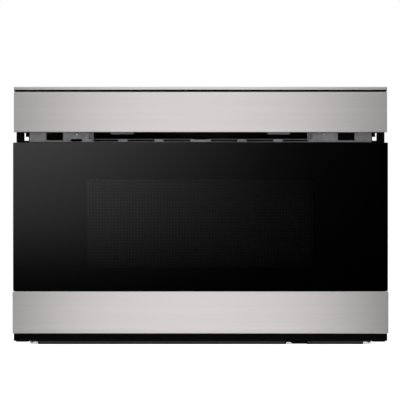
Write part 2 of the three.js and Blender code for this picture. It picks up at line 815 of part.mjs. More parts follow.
function ventDuct() {
  const bottom = cavityTop + CAVITY_WALL + SEAT;
  const top = panelZ + PLAY + SHEET;
  const rearTop = bottom + DUCT_HEIGHT * 0.7;
  const front = behindFace;
  const back = cavityBack - 40;
  const outside = alongX(polygon([
    [front, bottom],
    [back, bottom],
    [back, rearTop],
    [front + 60, top],
    [front, top],
  ]), -DUCT_HALF, DUCT_HALF);
  const inside = alongX(polygon([
    [front - 1, bottom - 1],
    [back + 1, bottom - 1],
    [back + 1, rearTop - SHEET],
    [front + 60, top - SHEET],
    [front - 1, top - SHEET],
  ]), SHEET - DUCT_HALF, DUCT_HALF - SHEET);
  const guard = alongY(rect(
    -DUCT_HALF,
    bottom + CAVITY_FLANGE + SEAT,
    DUCT_HALF,
    ventSill - SHEET,
  ), front, front + SHEET);
  const clearFlange = block(
    -DUCT_HALF - 1,
    DUCT_HALF + 1,
    front - 1,
    front + SHEET + SEAT,
    bottom - 1,
    bottom + CAVITY_FLANGE,
  );
  return cut(join(cut(outside, inside), guard), clearFlange);
}

// ---- Drawer front ----

function glassPane(x0, z0, x1, z1, front, back, edge, corner) {
  const shape = rect(x0 + edge, z0 + edge, x1 - edge, z1 - edge, corner);
  const pane = new THREE.ExtrudeGeometry(shape, {
    depth: back - front - 2 * edge,
    bevelThickness: edge,
    bevelSize: edge,
    bevelSegments: 1,
    curveSegments: 3,
  });
  return pane.rotateX(Math.PI / 2).translate(0, back - edge, 0);
}

function doorGlass() {
  const half = GLASS_WIDTH / 2;
  return glassPane(-half, glassZ + SEAT, half, ventZ, PLAY, PLAY + GLASS_THICKNESS, 0.8, 1);
}

// Steel band below the glass: rounded edges, a double hem at the foot and closed ends.
function doorBand() {
  const top = glassZ;
  const foot = bandZ;
  const back = PLAY + GLASS_THICKNESS;
  const groove = (z) => [[0, z + 0.9], [0.7, z], [0, z - 0.9]];
  const path = [
    [back, top],
    [1.2, top],
    [0.3, top - 0.3],
    [0, top - 1.2],
    ...groove(foot + 7.2),
    ...groove(foot + 3.9),
    [0, foot + 1.6],
    [0.5, foot + 0.5],
    [1.6, foot],
    [back, foot],
  ];
  const half = GLASS_WIDTH / 2 + BAND_PROUD;
  const channel = alongX(folded(path, SHEET), -half, half);
  const ends = [-half, half - SHEET].map((x) => alongX(polygon(path), x, x + SHEET));
  const outline = alongY(rect(-half, foot, half, top, 1.6), -1, back + 1);
  return common(join(channel, ...ends), outline);
}

function doorFrame() {
  const ring = (inset) => rect(
    -doorHalf + inset,
    doorBottom + inset,
    doorHalf - inset,
    doorTop - inset,
    Math.max(4 - inset, 0),
  );
  const pane = (margin) => rect(
    -windowHalf - margin,
    WINDOW_BOTTOM - margin,
    windowHalf + margin,
    windowTop + margin,
    WINDOW_CORNER,
  );
  const wall = alongY(pierced(ring(0), ring(DOOR_WALL)), doorFront, DOOR_BACK);
  const lip = alongY(pierced(ring(0), ring(14)), doorFront, doorFront + DOOR_WALL);
  const back = alongY(pierced(ring(0), pane(0)), DOOR_BACK - DOOR_WALL, DOOR_BACK);
  const tunnel = alongY(pierced(pane(5 + DOOR_WALL), pane(5)), doorFront, DOOR_BACK - DOOR_WALL / 2);
  const rail = block(-doorHalf + 1, doorHalf - 1, doorFront, doorFront + DOOR_WALL, glassZ - 9, glassZ + 9);
  const ribs = [-1, 1].flatMap((side) => [WINDOW_BOTTOM + 20, windowTop - 20].map((z) => {
    const x = [side * (windowHalf + 5), side * (doorHalf - DOOR_WALL / 2)].sort((a, b) => a - b);
    return block(x[0], x[1], doorFront + 8, DOOR_BACK - DOOR_WALL / 2, z, z + DOOR_WALL);
  }));
  return join(wall, lip, back, tunnel, rail, ...ribs);
}

function windowScreen() {
  const half = windowHalf + 5 - SEAT;
  const y = DOOR_BACK - DOOR_WALL - 2 * SEAT - INNER_GLASS - 0.8;
  return alongY(
    rect(-half, WINDOW_BOTTOM - 5 + SEAT, half, windowTop + 5 - SEAT, WINDOW_CORNER),
    y,
    y + 0.8,
  );
}

function innerGlass() {
  const half = windowHalf + 5 - SEAT;
  const back = DOOR_BACK - DOOR_WALL - SEAT;
  return glassPane(-half, WINDOW_BOTTOM - 5 + SEAT, half, windowTop + 5 - SEAT, back - INNER_GLASS, back, 0.5, WINDOW_CORNER);
}

// Ring on the back of the door that faces the cavity flange, with its sealing groove.
function doorChoke() {
  const half = flangeHalf - 1;
  const low = CAVITY_FLOOR - CAVITY_WALL - CAVITY_FLANGE + 1;
  const high = cavityTop + CAVITY_WALL + CAVITY_FLANGE - 1;
  const inner = () => rect(
    -cavityHalf + 2,
    CAVITY_FLOOR + 1.2,
    cavityHalf - 2,
    cavityTop - 2,
    CAVITY_CORNER - 2,
  );
  const ring = alongY(
    pierced(rect(-half, low, half, high, CAVITY_CORNER), inner()),
    behindDoor,
    behindDoor + CHOKE_THICKNESS,
  );
  const groove = alongY(pierced(
    rect(-half + 3, low + 3, half - 3, high - 3, CAVITY_CORNER - 3),
    rect(-half + 6, low + 6, half - 6, high - 6, CAVITY_CORNER - 5),
  ), behindDoor + CHOKE_THICKNESS / 2, behindDoor + CHOKE_THICKNESS + 1);
  return cut(ring, groove);
}

// ---- Drawer pan and its fittings ----

// Open tub whose walls lean out towards the top and whose rim falls towards the rear.
function drawerPan() {
  const half = PAN_WIDTH / 2;
  const front = behindDoor;
  const back = front + panDepth;
  const top = panBottom + PAN_FRONT_HEIGHT;
  const inset = (margin, bottomMargin) => rect(
    -half + margin,
    front + margin + bottomMargin,
    half - margin,
    back - margin,
    PAN_CORNER - margin,
  );
  const walls = alongZ(pierced(inset(0, 0), inset(PAN_WALL, 0)), panBottom, top);
  const opening = rect(
    -half + 2 * PAN_CORNER,
    front + 2 * PAN_CORNER,
    half - 2 * PAN_CORNER,
    back - 2 * PAN_CORNER,
    PAN_CORNER / 2,
  );
  const floor = alongZ(pierced(inset(0, 0), opening), panBottom, panBottom + PAN_WALL);
  const slope = alongX(polygon([
    [front - 1, top + 1],
    [front + panDepth * 0.25, top],
    [back + 1, panBottom + PAN_REAR_HEIGHT],
    [back + 1, top + 1],
  ]), -half - 1, half + 1);
  const tub = cut(join(walls, floor), slope);
  const rim = join(...[-1, 1].map((side) => {
    const x = [side * (half - 5), side * half].sort((a, b) => a - b);
    return block(x[0], x[1], front + PAN_CORNER, front + panDepth * 0.25, top - PAN_WALL, top);
  }), walls);
  const whole = join(tub, cut(rim, slope));
  const position = whole.attributes.position;
  for (let i = 0; i < position.count; i += 1) {
    const lean = 1 - (PAN_TAPER * (top - position.getZ(i))) / PAN_FRONT_HEIGHT;
    position.setX(i, position.getX(i) * lean);
  }
  return whole;
}

function drawerTray() {
  const half = (PAN_WIDTH / 2) * (1 - PAN_TAPER) - PAN_WALL - 2;
  const front = behindDoor + PAN_WALL + 4;
  const back = behindDoor + panDepth - PAN_WALL - 4;
  const bottom = panBottom + PAN_WALL + SEAT;
  const shape = rect(-half + 0.8, front + 0.8, half - 0.8, back - 0.8, PAN_CORNER - 4);
  const plate = new THREE.ExtrudeGeometry(shape, {
    depth: TRAY_THICKNESS - 1.6,
    bevelThickness: 0.8,
    bevelSize: 0.8,
    bevelSegments: 1,
    curveSegments: 3,
  });
  return plate.translate(0, 0, bottom + 0.8);
}

function latchHook() {
  const front = behindDoor;
  const tip = front + HOOK_LENGTH;
  const z = SWITCH_Z;
  const outline = polygon([
    [front, z - 10],
    [front + 2, z - 10],
    [front + 2, z - 5],
    [tip, z - 5],
    [tip, z],
    [tip - 4, z + 5],
    [tip - 8, z + 5],
    [tip - 10, z + 1],
    [front + 8, z + 1],
    [front + 2, z + 7],
    [front + 2, z + 10],
    [front, z + 10],
  ]);
  const x = flangeHalf + 10;
  return alongX(outline, x, x + 3);
}

// ---- Telescopic slides ----

function slideFixed() {
  const reach = SLIDE_HEIGHT / 2;
  const x = slideOuter;
  const lip = 3.6;
  const path = [
    [x - SLIDE_DEPTH, SLIDE_Z - reach + lip],
    [x - SLIDE_DEPTH, SLIDE_Z - reach],
    [x, SLIDE_Z - reach],
    [x, SLIDE_Z + reach],
    [x - SLIDE_DEPTH, SLIDE_Z + reach],
    [x - SLIDE_DEPTH, SLIDE_Z + reach - lip],
  ];
  return alongY(folded(path, SHEET), behindFace, behindFace + SLIDE_LENGTH);
}

function slideMiddle() {
  const reach = SLIDE_HEIGHT / 2 - SHEET - SLIDE_BALL;
  const x = slideOuter - SHEET - PLAY;
  const end = x - SLIDE_DEPTH + 0.5;
  const path = [
    [end, SLIDE_Z - reach],
    [x, SLIDE_Z - reach],
    [x, SLIDE_Z + reach],
    [end, SLIDE_Z + reach],
  ];
  const channel = alongY(folded(path, SHEET), behindFace + SEAT, behindFace + SLIDE_LENGTH);
  const windows = repeated(3, SLIDE_LENGTH / 4, (offset) => alongX(
    rect(
      behindFace + SLIDE_LENGTH / 2 + offset - 12,
      SLIDE_Z - 4,
      behindFace + SLIDE_LENGTH / 2 + offset + 12,
      SLIDE_Z + 4,
      3.9,
    ),
    x - 2 * SHEET,
    x + SHEET,
  ));
  return cut(channel, ...windows);
}

function slideInner() {
  const reach = SLIDE_HEIGHT / 2 - 2 * SHEET - 2 * SLIDE_BALL;
  const outerEnd = slideOuter - 2 * SHEET - 2 * PLAY - 1.4;
  const x = slideOuter - SLIDE_DEPTH - SHEET - 2.8;
  const path = [
    [outerEnd, SLIDE_Z + reach],
    [x, SLIDE_Z + reach],
    [x, SLIDE_Z - reach],
    [outerEnd, SLIDE_Z - reach],
  ];
  const channel = alongY(folded(path, SHEET), behindDoor, behindFace + SLIDE_LENGTH - 4);
  const foot = alongY(
    rect(x - 9, SLIDE_Z - SLIDE_HEIGHT / 2 + 2, x + SHEET, SLIDE_Z + SLIDE_HEIGHT / 2 - 2, 2),
    behindDoor,
    behindDoor + FACE_SHEET,
  );
  return join(channel, foot);
}

// ---- Drawer drive ----

function driveRack() {
  const pitch = Math.PI * DRIVE_MODULE;
  const count = Math.floor((RACK_LENGTH - 20) / pitch);
  const slopeRun = Math.tan(Math.PI / 9);
  const tip = RACK_PITCH_Z - 0.9 * DRIVE_MODULE;
  const root = RACK_PITCH_Z + 1.2 * DRIVE_MODULE;
  const half = pitch / 4 - 0.1;
  const first = PINION_DEPTH + pitch / 2 - 4 * pitch;
  const points = [[behindDoor, root + RACK_HEIGHT], [behindDoor, root]];
  for (let i = 0; i < count; i += 1) {
    const y = first + i * pitch;
    points.push([y - half - (root - RACK_PITCH_Z) * slopeRun, root]);
    points.push([y - half + (RACK_PITCH_Z - tip) * slopeRun, tip]);
    points.push([y + half - (RACK_PITCH_Z - tip) * slopeRun, tip]);
    points.push([y + half + (root - RACK_PITCH_Z) * slopeRun, root]);
  }
  points.push([behindDoor + RACK_LENGTH, root], [behindDoor + RACK_LENGTH, root + RACK_HEIGHT]);
  const bar = alongX(polygon(points.reverse()), RACK_X - RACK_WIDTH / 2, RACK_X + RACK_WIDTH / 2);
  const foot = alongY(
    rect(RACK_X - RACK_WIDTH / 2, root + 1, RACK_X + RACK_WIDTH / 2, root + RACK_HEIGHT + 6),
    behindDoor,
    behindDoor + 3,
  );
  return join(bar, foot);
}

const pinionZ = RACK_PITCH_Z - (DRIVE_TEETH * DRIVE_MODULE) / 2;

function drivePinion() {
  const points = gear(DRIVE_TEETH, DRIVE_MODULE, Math.PI / 2);
  const width = RACK_WIDTH + 2;
  const wheel = alongX(polygon(points), RACK_X - width / 2, RACK_X + width / 2);
  const shaft = alongX(disc(0, 0, 4, 12), RACK_X - width / 2 - 3, RACK_X + width / 2 + PLAY);
  return join(wheel, shaft).translate(0, PINION_DEPTH, pinionZ);
}

// Cast gearbox with a rounded top, screw ears on the floor and a boss for the motor.
function driveGearbox() {
  const x0 = RACK_X + RACK_WIDTH / 2 + 1 + PLAY + SEAT;
  const foot = floorZ + SEAT;
  const radius = (DRIVE_TEETH * DRIVE_MODULE) / 2 + 4;
  const outline = new THREE.Shape();
  outline.moveTo(PINION_DEPTH - radius, foot);
  outline.lineTo(PINION_DEPTH + radius + 14, foot);
  outline.lineTo(PINION_DEPTH + radius + 14, pinionZ - 8);
  outline.lineTo(PINION_DEPTH + radius, pinionZ);
  outline.absarc(PINION_DEPTH, pinionZ, radius, 0, Math.PI);
  outline.closePath();
  const box = alongX(outline, x0, x0 + GEARBOX_LENGTH);
  const ears = block(
    x0,
    x0 + GEARBOX_LENGTH,
    PINION_DEPTH - radius - 10,
    PINION_DEPTH + radius + 26,
    foot,
    foot + 4,
  );
  const ribs = repeated(3, GEARBOX_LENGTH / 3, (offset) => {
    const x = x0 + GEARBOX_LENGTH / 2 + offset;
    return block(x - 1, x + 1, PINION_DEPTH - radius - 3, PINION_DEPTH, foot, pinionZ);
  });
  return join(box, ears, ...ribs);
}

function driveMotor() {
  const x0 = RACK_X + RACK_WIDTH / 2 + 1 + PLAY + 2 * SEAT + GEARBOX_LENGTH;
  const radius = DRIVE_MOTOR_RADIUS;
  const profile = [
    [0, 0],
    [radius, 0],
    [radius, DRIVE_MOTOR_LENGTH - 10],
    [radius - 3, DRIVE_MOTOR_LENGTH - 6],
    [radius - 3, DRIVE_MOTOR_LENGTH - 3],
    [radius / 3, DRIVE_MOTOR_LENGTH - 3],
    [radius / 3, DRIVE_MOTOR_LENGTH],
    [0, DRIVE_MOTOR_LENGTH],
  ];
  return turned(profile, 18).rotateY(Math.PI / 2).translate(x0, PINION_DEPTH + 6, floorZ + 12 + radius);
}

// ---- Interlocks and lamp ----

// Switch block behind the front plate: the hook enters its open channel, two switches sit on its side.
function interlock() {
  const x0 = flangeHalf + SEAT;
  const x1 = x0 + SWITCH_WIDTH;
  const low = SWITCH_Z - SWITCH_DROP;
  const high = SWITCH_Z + SWITCH_RISE;
  const front = behindFace;
  const bracket = block(x0, x1, front, front + SWITCH_LENGTH, low, high);
  const channel = block(x0 + 5, x0 + 18, front - 1, front + SWITCH_LENGTH - 12, SWITCH_Z - 12, SWITCH_Z + 12);
  const pocket = block(x0 - 1, x0 + 3, front + 14, front + SWITCH_LENGTH + 1, SWITCH_Z - 8, SWITCH_Z + 8);
  const switches = [-1, 1].map((side) => block(
    x1 - 1,
    x1 + 5,
    front + 22,
    front + 50,
    SWITCH_Z + side * 13 - 7,
    SWITCH_Z + side * 13 + 5,
  ));
  return join(cut(bracket, channel, pocket), ...switches);
}

function lampHousing() {
  const wall = cavityHalf + CAVITY_WALL + SEAT;
  const profile = [
    [0, 0],
    [LAMP_FLANGE, 0],
    [LAMP_FLANGE, 2],
    [LAMP_FLANGE * 0.71, 3],
    [LAMP_FLANGE * 0.63, LAMP_LENGTH - 12],
    [LAMP_FLANGE * 0.42, LAMP_LENGTH - 6],
    [LAMP_FLANGE * 0.42, LAMP_LENGTH],
    [0, LAMP_LENGTH],
  ];
  const reflector = turned(profile, 16).rotateY(Math.PI / 2).translate(wall, LAMP_Y, LAMP_Z);
  const bulb = turned([[0, -8], [5, -7], [8, -2], [8, 1], [0, 1]], 12)
    .rotateY(Math.PI / 2)
    .translate(wall, LAMP_Y, LAMP_Z);
  return join(reflector, bulb);
}

// ---- Microwave source ----

function waveguide() {
  const half = GUIDE_WIDTH / 2;
  const wall = SHEET;
  const section = (inset) => polygon([
    [GUIDE_FRONT + GUIDE_HEIGHT / 2 + inset * 0.6, guideBottom + inset],
    [guideBack - inset, guideBottom + inset],
    [guideBack - inset, guideTop - inset],
    [GUIDE_FRONT + inset, guideTop - inset],
    [GUIDE_FRONT + inset, guideTop - GUIDE_HEIGHT / 2],
  ]);
  const ports = [
    [stirrerY, STIRRER_SHAFT_RADIUS * 3, guideTop],
    [stirrerY, STIRRER_SHAFT_RADIUS + 2, guideBottom],
    [magnetronY, 15, guideTop],
  ].map(([y, radius, z]) => alongZ(disc(0, y, radius, 12), z - 2 * wall, z + 2 * wall));
  return cut(
    alongX(section(0), -half, half),
    alongX(section(wall), wall - half, half - wall),
    ...ports,
  );
}

// Magnetron: yoke plates, cooling fins round the anode, filter box on top, antenna into the guide.
function magnetron() {
  const base = guideTop + SEAT;
  const halfX = MAGNETRON_WIDTH / 2;
  const halfY = MAGNETRON_LENGTH / 2;
  const stack = (MAGNETRON_FINS - 1) * FIN_PITCH;
  const finZ = base + FIN_LIFT + stack / 2;
  const top = base + 2 * FIN_LIFT + stack;
  const plate = (z, thickness, insetX, insetY) => alongZ(rect(
    -halfX + insetX,
    magnetronY - halfY + insetY,
    halfX - insetX,
    magnetronY + halfY - insetY,
  ), z, z + thickness);
  const fins = repeated(MAGNETRON_FINS, FIN_PITCH, (offset) => plate(finZ + offset, 1, 3, 6));
  const side = (x) => block(x, x + 2, magnetronY - halfY, magnetronY + halfY, base, top);
  const anode = turned([
    [0, base - ANTENNA_REACH],
    [9, base - ANTENNA_REACH],
    [9, base],
    [20, base],
    [20, top + 1],
    [0, top + 1],
  ], 14).translate(0, magnetronY, 0);
  return join(
    plate(base, 2, 0, 0),
    plate(top - 2, 2, 0, 0),
    side(-halfX),
    side(halfX - 2),
    anode,
    plate(top - 0.5, FILTER_BOX, 14, 12),
    ...fins,
  );
}

function stirrerMotor() {
  const top = guideBottom - SEAT;
  const bottom = top - STIRRER_MOTOR_HEIGHT;
  const can = turned([
    [0, bottom],
    [STIRRER_MOTOR_RADIUS - 2, bottom],
    [STIRRER_MOTOR_RADIUS, bottom + 2],
    [STIRRER_MOTOR_RADIUS, top - 1],
    [0, top - 1],
  ], 18).translate(0, stirrerY, 0);
  const ears = alongZ(rect(
    -STIRRER_MOTOR_RADIUS - 8,
    stirrerY - 7,
    STIRRER_MOTOR_RADIUS + 8,
    stirrerY + 7,
    6,
  ), top - 1.5, top);
  return join(can, ears);
}

// Rotating antenna: a slotted disc on a hollow-ended shaft, with a stiffening skirt.
function stirrerAntenna() {
  const z = wellBottom + CAVITY_WALL + 6;
  const slots = [];
  const count = 4;
  for (let i = 0; i < count; i += 1) {
    const from = (i * 2 * Math.PI) / count + 0.25;
    const to = from + 1.05;
    const slot = new THREE.Shape();
    slot.absarc(0, 0, STIRRER_RADIUS * 0.8, from, to, false);
    slot.absarc(0, 0, STIRRER_RADIUS * 0.55, to, from, true);
    slot.closePath();
    slots.push(slot);
  }
  const blade = alongZ(pierced(disc(0, 0, STIRRER_RADIUS, 24), ...slots), z, z + SHEET);
  const shaft = turned([
    [0, guideBottom],
    [STIRRER_SHAFT_RADIUS, guideBottom],
    [STIRRER_SHAFT_RADIUS, z - 3],
    [STIRRER_SHAFT_RADIUS * 3, z + 0.5],
    [0, z + 0.5],
  ], 12);
  return join(blade, shaft).translate(0, stirrerY, 0);
}

function transformerCore() {
  const x0 = CORE_X - CORE_WIDTH / 2;
  const z0 = floorZ + SEAT;
  const leg = CORE_WIDTH / 6;
  const windows = [x0 + leg, x0 + CORE_WIDTH - 2 * leg].map((x) => rect(
    x,
    z0 + leg,
    x + leg,
    z0 + CORE_HEIGHT - leg,
  ));
  const core = alongY(
    pierced(rect(x0, z0, x0 + CORE_WIDTH, z0 + CORE_HEIGHT), ...windows),
    coreY - CORE_DEPTH / 2,
    coreY + CORE_DEPTH / 2,
  );
  const foot = block(
    x0 - 8,
    x0 + CORE_WIDTH + 8,
    coreY - CORE_DEPTH / 2,
    coreY + CORE_DEPTH / 2,
    z0,
    z0 + 2,
  );
  return join(core, foot);
}

function transformerWinding() {
  const leg = CORE_WIDTH / 6;
  const half = 2 * leg - SEAT;
  const reach = CORE_DEPTH / 2 + leg - SEAT;
  const ring = pierced(
    rect(CORE_X - half, coreY - reach, CORE_X + half, coreY + reach, leg * 0.6),
    rect(
      CORE_X - leg - SEAT,
      coreY - CORE_DEPTH / 2 - SEAT,
      CORE_X + leg + SEAT,
      coreY + CORE_DEPTH / 2 + SEAT,
    ),
  );
  const z0 = floorZ + SEAT + leg + SEAT;
  return alongZ(ring, z0, z0 + CORE_HEIGHT - 2 * leg - 2 * SEAT);
}

function capacitor() {
  const z0 = floorZ + SEAT;
  const can = alongZ(rect(
    CAN_X - CAN_WIDTH / 2,
    coreY - CAN_DEPTH / 2,
    CAN_X + CAN_WIDTH / 2,
    coreY + CAN_DEPTH / 2,
    CAN_DEPTH / 2.05,
  ), z0, z0 + CAN_HEIGHT);
  const strap = alongZ(rect(
    CAN_X - CAN_WIDTH / 2 - 12,
    coreY - CAN_DEPTH / 2 - 2,
    CAN_X + CAN_WIDTH / 2 + 12,
    coreY + CAN_DEPTH / 2 + 2,
    6,
  ), z0, z0 + 2);
  const terminals = [-10, 10].map((x) => block(
    CAN_X + x - 3,
    CAN_X + x + 3,
    coreY - 0.5,
    coreY + 0.5,
    z0 + CAN_HEIGHT - 1,
    z0 + CAN_HEIGHT + 9,
  ));
  return join(can, strap, ...terminals);
}

// Filter board on four posts against the left side panel.
function noiseFilter() {
  const x = -sideInner + SEAT;
  const board = x + FILTER_SPACER;
  const y0 = backInner - FILTER_GAP - FILTER_LENGTH;
  const z0 = GLAND_Z - 30 - FILTER_HEIGHT;
  const posts = [y0 + 6, y0 + FILTER_LENGTH - 6].flatMap((y) => [z0 + 6, z0 + FILTER_HEIGHT - 6].map((z) => [y, z]));
  const choke = turned([[6, 0], [16, 0], [18, 4], [18, 12], [16, 16], [6, 16]], 16)
    .rotateY(Math.PI / 2)
    .translate(board + 1, y0 + 24, z0 + 24);
  const cans = [0, 20].map((offset) => block(
    board + 1,
    board + 17,
    y0 + 48,
    y0 + 60,
    z0 + 20 + offset,
    z0 + 36 + offset,
  ));
  return join(
    alongX(rect(y0, z0, y0 + FILTER_LENGTH, z0 + FILTER_HEIGHT, 2), board, board + 1.6),
    ...posts.map(([y, z]) => alongX(disc(y, z, 3, 8), x, board + 1)),
    choke,
    ...cans,
  );
}

// ---- Cooling fan ----

const fanBack = backInner;
const fanFront = fanBack - FAN_DEPTH - 8;

function fanShroud() {
  const half = FAN_RADIUS + 9;
  const ringOuter = FAN_RADIUS + 5;
  const plate = alongY(pierced(
    rect(-half, FAN_Z - half, half, FAN_Z + half, 6),
    disc(0, FAN_Z, FAN_RADIUS + 3, 24),
  ), fanBack - 2, fanBack);
  const ring = alongY(
    pierced(disc(0, FAN_Z, ringOuter, 24), disc(0, FAN_Z, FAN_RADIUS + 3, 24)),
    fanFront - 2,
    fanBack,
  );
  const arm = () => block(15, ringOuter - 1, fanFront - 4, fanFront - 1, -3, 3);
  const arms = [0, 1, 2].map((i) => arm().rotateY(Math.PI / 2 + (i * 2 * Math.PI) / 3).translate(0, 0, FAN_Z));
  const hub = alongY(
    pierced(disc(0, FAN_Z, FAN_MOTOR_RADIUS, 18), disc(0, FAN_Z, 5, 12)),
    fanFront - 4,
    fanFront - 1,
  );
  return join(plate, ring, hub, ...arms);
}

function fanBlades() {
  const hubRadius = FAN_RADIUS * 0.3;
  const hub = alongY(disc(0, 0, hubRadius, 18), fanFront + 1, fanBack - 6);
  const shaft = alongY(disc(0, 0, 3, 10), fanFront - 4, fanFront + 2);
  const blades = [];
  for (let i = 0; i < FAN_BLADES; i += 1) {
    const twist = new THREE.BoxGeometry(FAN_RADIUS - hubRadius + 2, 1.6, 26, 3, 1, 1);
    const position = twist.attributes.position;
    for (let j = 0; j < position.count; j += 1) {
      const across = position.getZ(j);
      const along = position.getX(j) / FAN_RADIUS;
      const pitch = 0.75 - 0.5 * along;
      const y = position.getY(j);
      position.setZ(j, across * Math.cos(pitch) - y * Math.sin(pitch));
      position.setY(j, across * Math.sin(pitch) * 0.8 + y * Math.cos(pitch));
    }
    twist.translate((FAN_RADIUS + hubRadius - 2) / 2, (fanFront + fanBack - 5) / 2, 0);
    blades.push(twist.rotateY((i * 2 * Math.PI) / FAN_BLADES));
  }
  return join(hub, shaft, ...blades).translate(0, 0, FAN_Z);
}

function fanMotor() {
  const front = fanFront - 4 - SEAT - FAN_MOTOR_LENGTH;
  const body = alongY(
    rect(-FAN_MOTOR_RADIUS, FAN_Z - FAN_MOTOR_RADIUS, FAN_MOTOR_RADIUS, FAN_Z + FAN_MOTOR_RADIUS, 8),
    front + 8,
    fanFront - 4 - SEAT,
  );
  const cap = alongY(disc(0, FAN_Z, FAN_MOTOR_RADIUS * 0.6, 14), front, front + 9);
  return join(body, cap);
}

// ---- Control unit ----

// Heights along the sloping touch glass, measured at its outer face.
const touchTop = lineZ - 0.8 - 0.4;
const touchFront = PANEL_LIP + SEAT;

function slopeZ(y, depthBelow) {
  return touchTop - (y - touchFront) * Math.tan(TOUCH_SLOPE) - depthBelow / Math.cos(TOUCH_SLOPE);
}

function panelFascia() {
  const top = lineZ - 0.5;
  const foot = panelZ;
  const path = [
    [PANEL_LIP, top],
    [1.5, top],
    [0.4, top - 0.4],
    [0, top - 1.5],
    [0, foot + 1.5],
    [0.4, foot + 0.4],
    [1.5, foot],
    [PANEL_LIP, foot],
  ];
  const half = PANEL_WIDTH / 2;
  const channel = alongX(folded(path, SHEET), -half, half);
  const ends = [-half, half - SHEET].map((x) => alongX(polygon(path), x, x + SHEET));
  return join(channel, ...ends);
}

// Moulded housing behind the fascia: open at the back, ribbed inside, its top slopes with the touch glass.
function panelHousing() {
  const front = SHEET + SEAT;
  const skin = TOUCH_THICKNESS + SEAT;
  const foot = panelZ + SHEET + SEAT;
  const section = (inset, reach) => polygon([
    [front + inset, foot + inset],
    [reach, foot + inset],
    [reach, slopeZ(TOUCH_BACK - 1, skin + inset)],
    [touchFront, slopeZ(touchFront, skin + inset)],
    [front + inset, slopeZ(touchFront, skin + inset)],
  ]);
  const shell = cut(
    alongX(section(0, TOUCH_BACK - 1), -housingHalf, housingHalf),
    alongX(section(HOUSING_WALL, TOUCH_BACK + 5), HOUSING_WALL - housingHalf, housingHalf - HOUSING_WALL),
  );
  const ribs = repeated(4, housingHalf * 0.4, (x) => alongX(polygon([
    [front + 1, foot + 1],
    [front + 14, foot + 1],
    [front + 6, slopeZ(touchFront, skin + 14)],
    [front + 1, slopeZ(touchFront, skin + 10)],
  ]), x - 1, x + 1));
  return join(shell, ...ribs);
}

function touchGlass() {
  const half = bracketX + SHEET + TILT_MOTOR_LENGTH + 3;
  const corner = (y, below) => [y + below * Math.sin(TOUCH_SLOPE) * -1, slopeZ(y, 0) - below * Math.cos(TOUCH_SLOPE)];
  return alongX(polygon([
    corner(touchFront + TOUCH_THICKNESS / 2, TOUCH_THICKNESS),
    corner(TOUCH_BACK, TOUCH_THICKNESS),
    corner(TOUCH_BACK, 0),
    corner(touchFront, 0),
    [touchFront, slopeZ(touchFront, TOUCH_THICKNESS - 0.9)],
  ]), -half, half);
}

function controlBoard() {
  const below = TOUCH_THICKNESS + SEAT + HOUSING_WALL + SEAT;
  const from = touchFront + 3;
  const to = TOUCH_BACK - 3;
  const board = polygon([
    [from, slopeZ(from, below + 1.6)],
    [to, slopeZ(to, below + 1.6)],
    [to, slopeZ(to, below)],
    [from, slopeZ(from, below)],
  ]);
  const half = housingHalf * 0.7;
  const chips = repeated(3, half * 0.6, (x) => alongX(polygon([
    [from + 9, slopeZ(from + 9, below + 5)],
    [to - 3, slopeZ(to - 3, below + 5)],
    [to - 3, slopeZ(to - 3, below + 1)],
    [from + 9, slopeZ(from + 9, below + 1)],
  ]), x - 12, x + 12));
  return join(alongX(board, -half, half), ...chips);
}

function hingeArm() {
  const x0 = housingHalf + SEAT;
  const x1 = x0 + HINGE_THICKNESS;
  const plate = alongX(polygon([
    [PIVOT - 2, pivotZ - 3],
    [PIVOT + 10, pivotZ - 3],
    [TOUCH_BACK - 8, pivotZ + 8],
    [TOUCH_BACK - 8, pivotZ + 26],
    [PIVOT - 2, pivotZ + 44],
  ]), x0, x1);
  const hub = alongX(disc(PIVOT, pivotZ, PIVOT - SHEET - PLAY, 12), x0, x1 + SHEET);
  const pinEnd = bracketX + FACE_SHEET + 2;
  const pin = alongX(disc(PIVOT, pivotZ, HINGE_PIN_RADIUS, 10), x0, pinEnd);
  return join(plate, hub, pin);
}

const tiltCentre = (TILT_MODULE * (SECTOR_TEETH + TILT_TEETH)) / 2;
const tiltY = PIVOT + tiltCentre * Math.cos(TILT_MESH_ANGLE);
const tiltZ = pivotZ + tiltCentre * Math.sin(TILT_MESH_ANGLE);

// Toothed quadrant on the right hinge arm: it reaches from just past the mesh down by the tilt angle.
function tiltSector() {
  const step = (2 * Math.PI) / SECTOR_TEETH;
  const last = 2;
  const first = -Math.ceil(TILT_ANGLE / step);
  const teeth = gear(SECTOR_TEETH, TILT_MODULE, TILT_MESH_ANGLE, first, last);
  const outline = polygon([[0, 0], ...teeth]);
  const x0 = housingHalf + SEAT + HINGE_THICKNESS - 0.5;
  return alongX(outline, x0, x0 + TILT_GEAR_WIDTH + 0.5).translate(0, PIVOT, pivotZ);
}

function tiltPinion() {
  const turn = TILT_MESH_ANGLE + Math.PI + Math.PI / TILT_TEETH;
  const x0 = housingHalf + 2 * SEAT + HINGE_THICKNESS;
  const wheel = alongX(polygon(gear(TILT_TEETH, TILT_MODULE, turn)), x0, x0 + TILT_GEAR_WIDTH);
  const shaft = alongX(disc(0, 0, 1.8, 10), x0, bracketX + FACE_SHEET);
  return join(wheel, shaft).translate(0, tiltY, tiltZ);
}

function tiltMotor() {
  const x0 = bracketX + FACE_SHEET + SEAT;
  const can = alongX(disc(tiltY, tiltZ, TILT_MOTOR_RADIUS, 18), x0, x0 + TILT_MOTOR_LENGTH);
  const ears = alongX(
    rect(tiltY - 3, tiltZ - TILT_MOTOR_RADIUS - 3, tiltY + 3, tiltZ + TILT_MOTOR_RADIUS + 1.5, 2),
    x0,
    x0 + 1,
  );
  return join(can, ears);
}

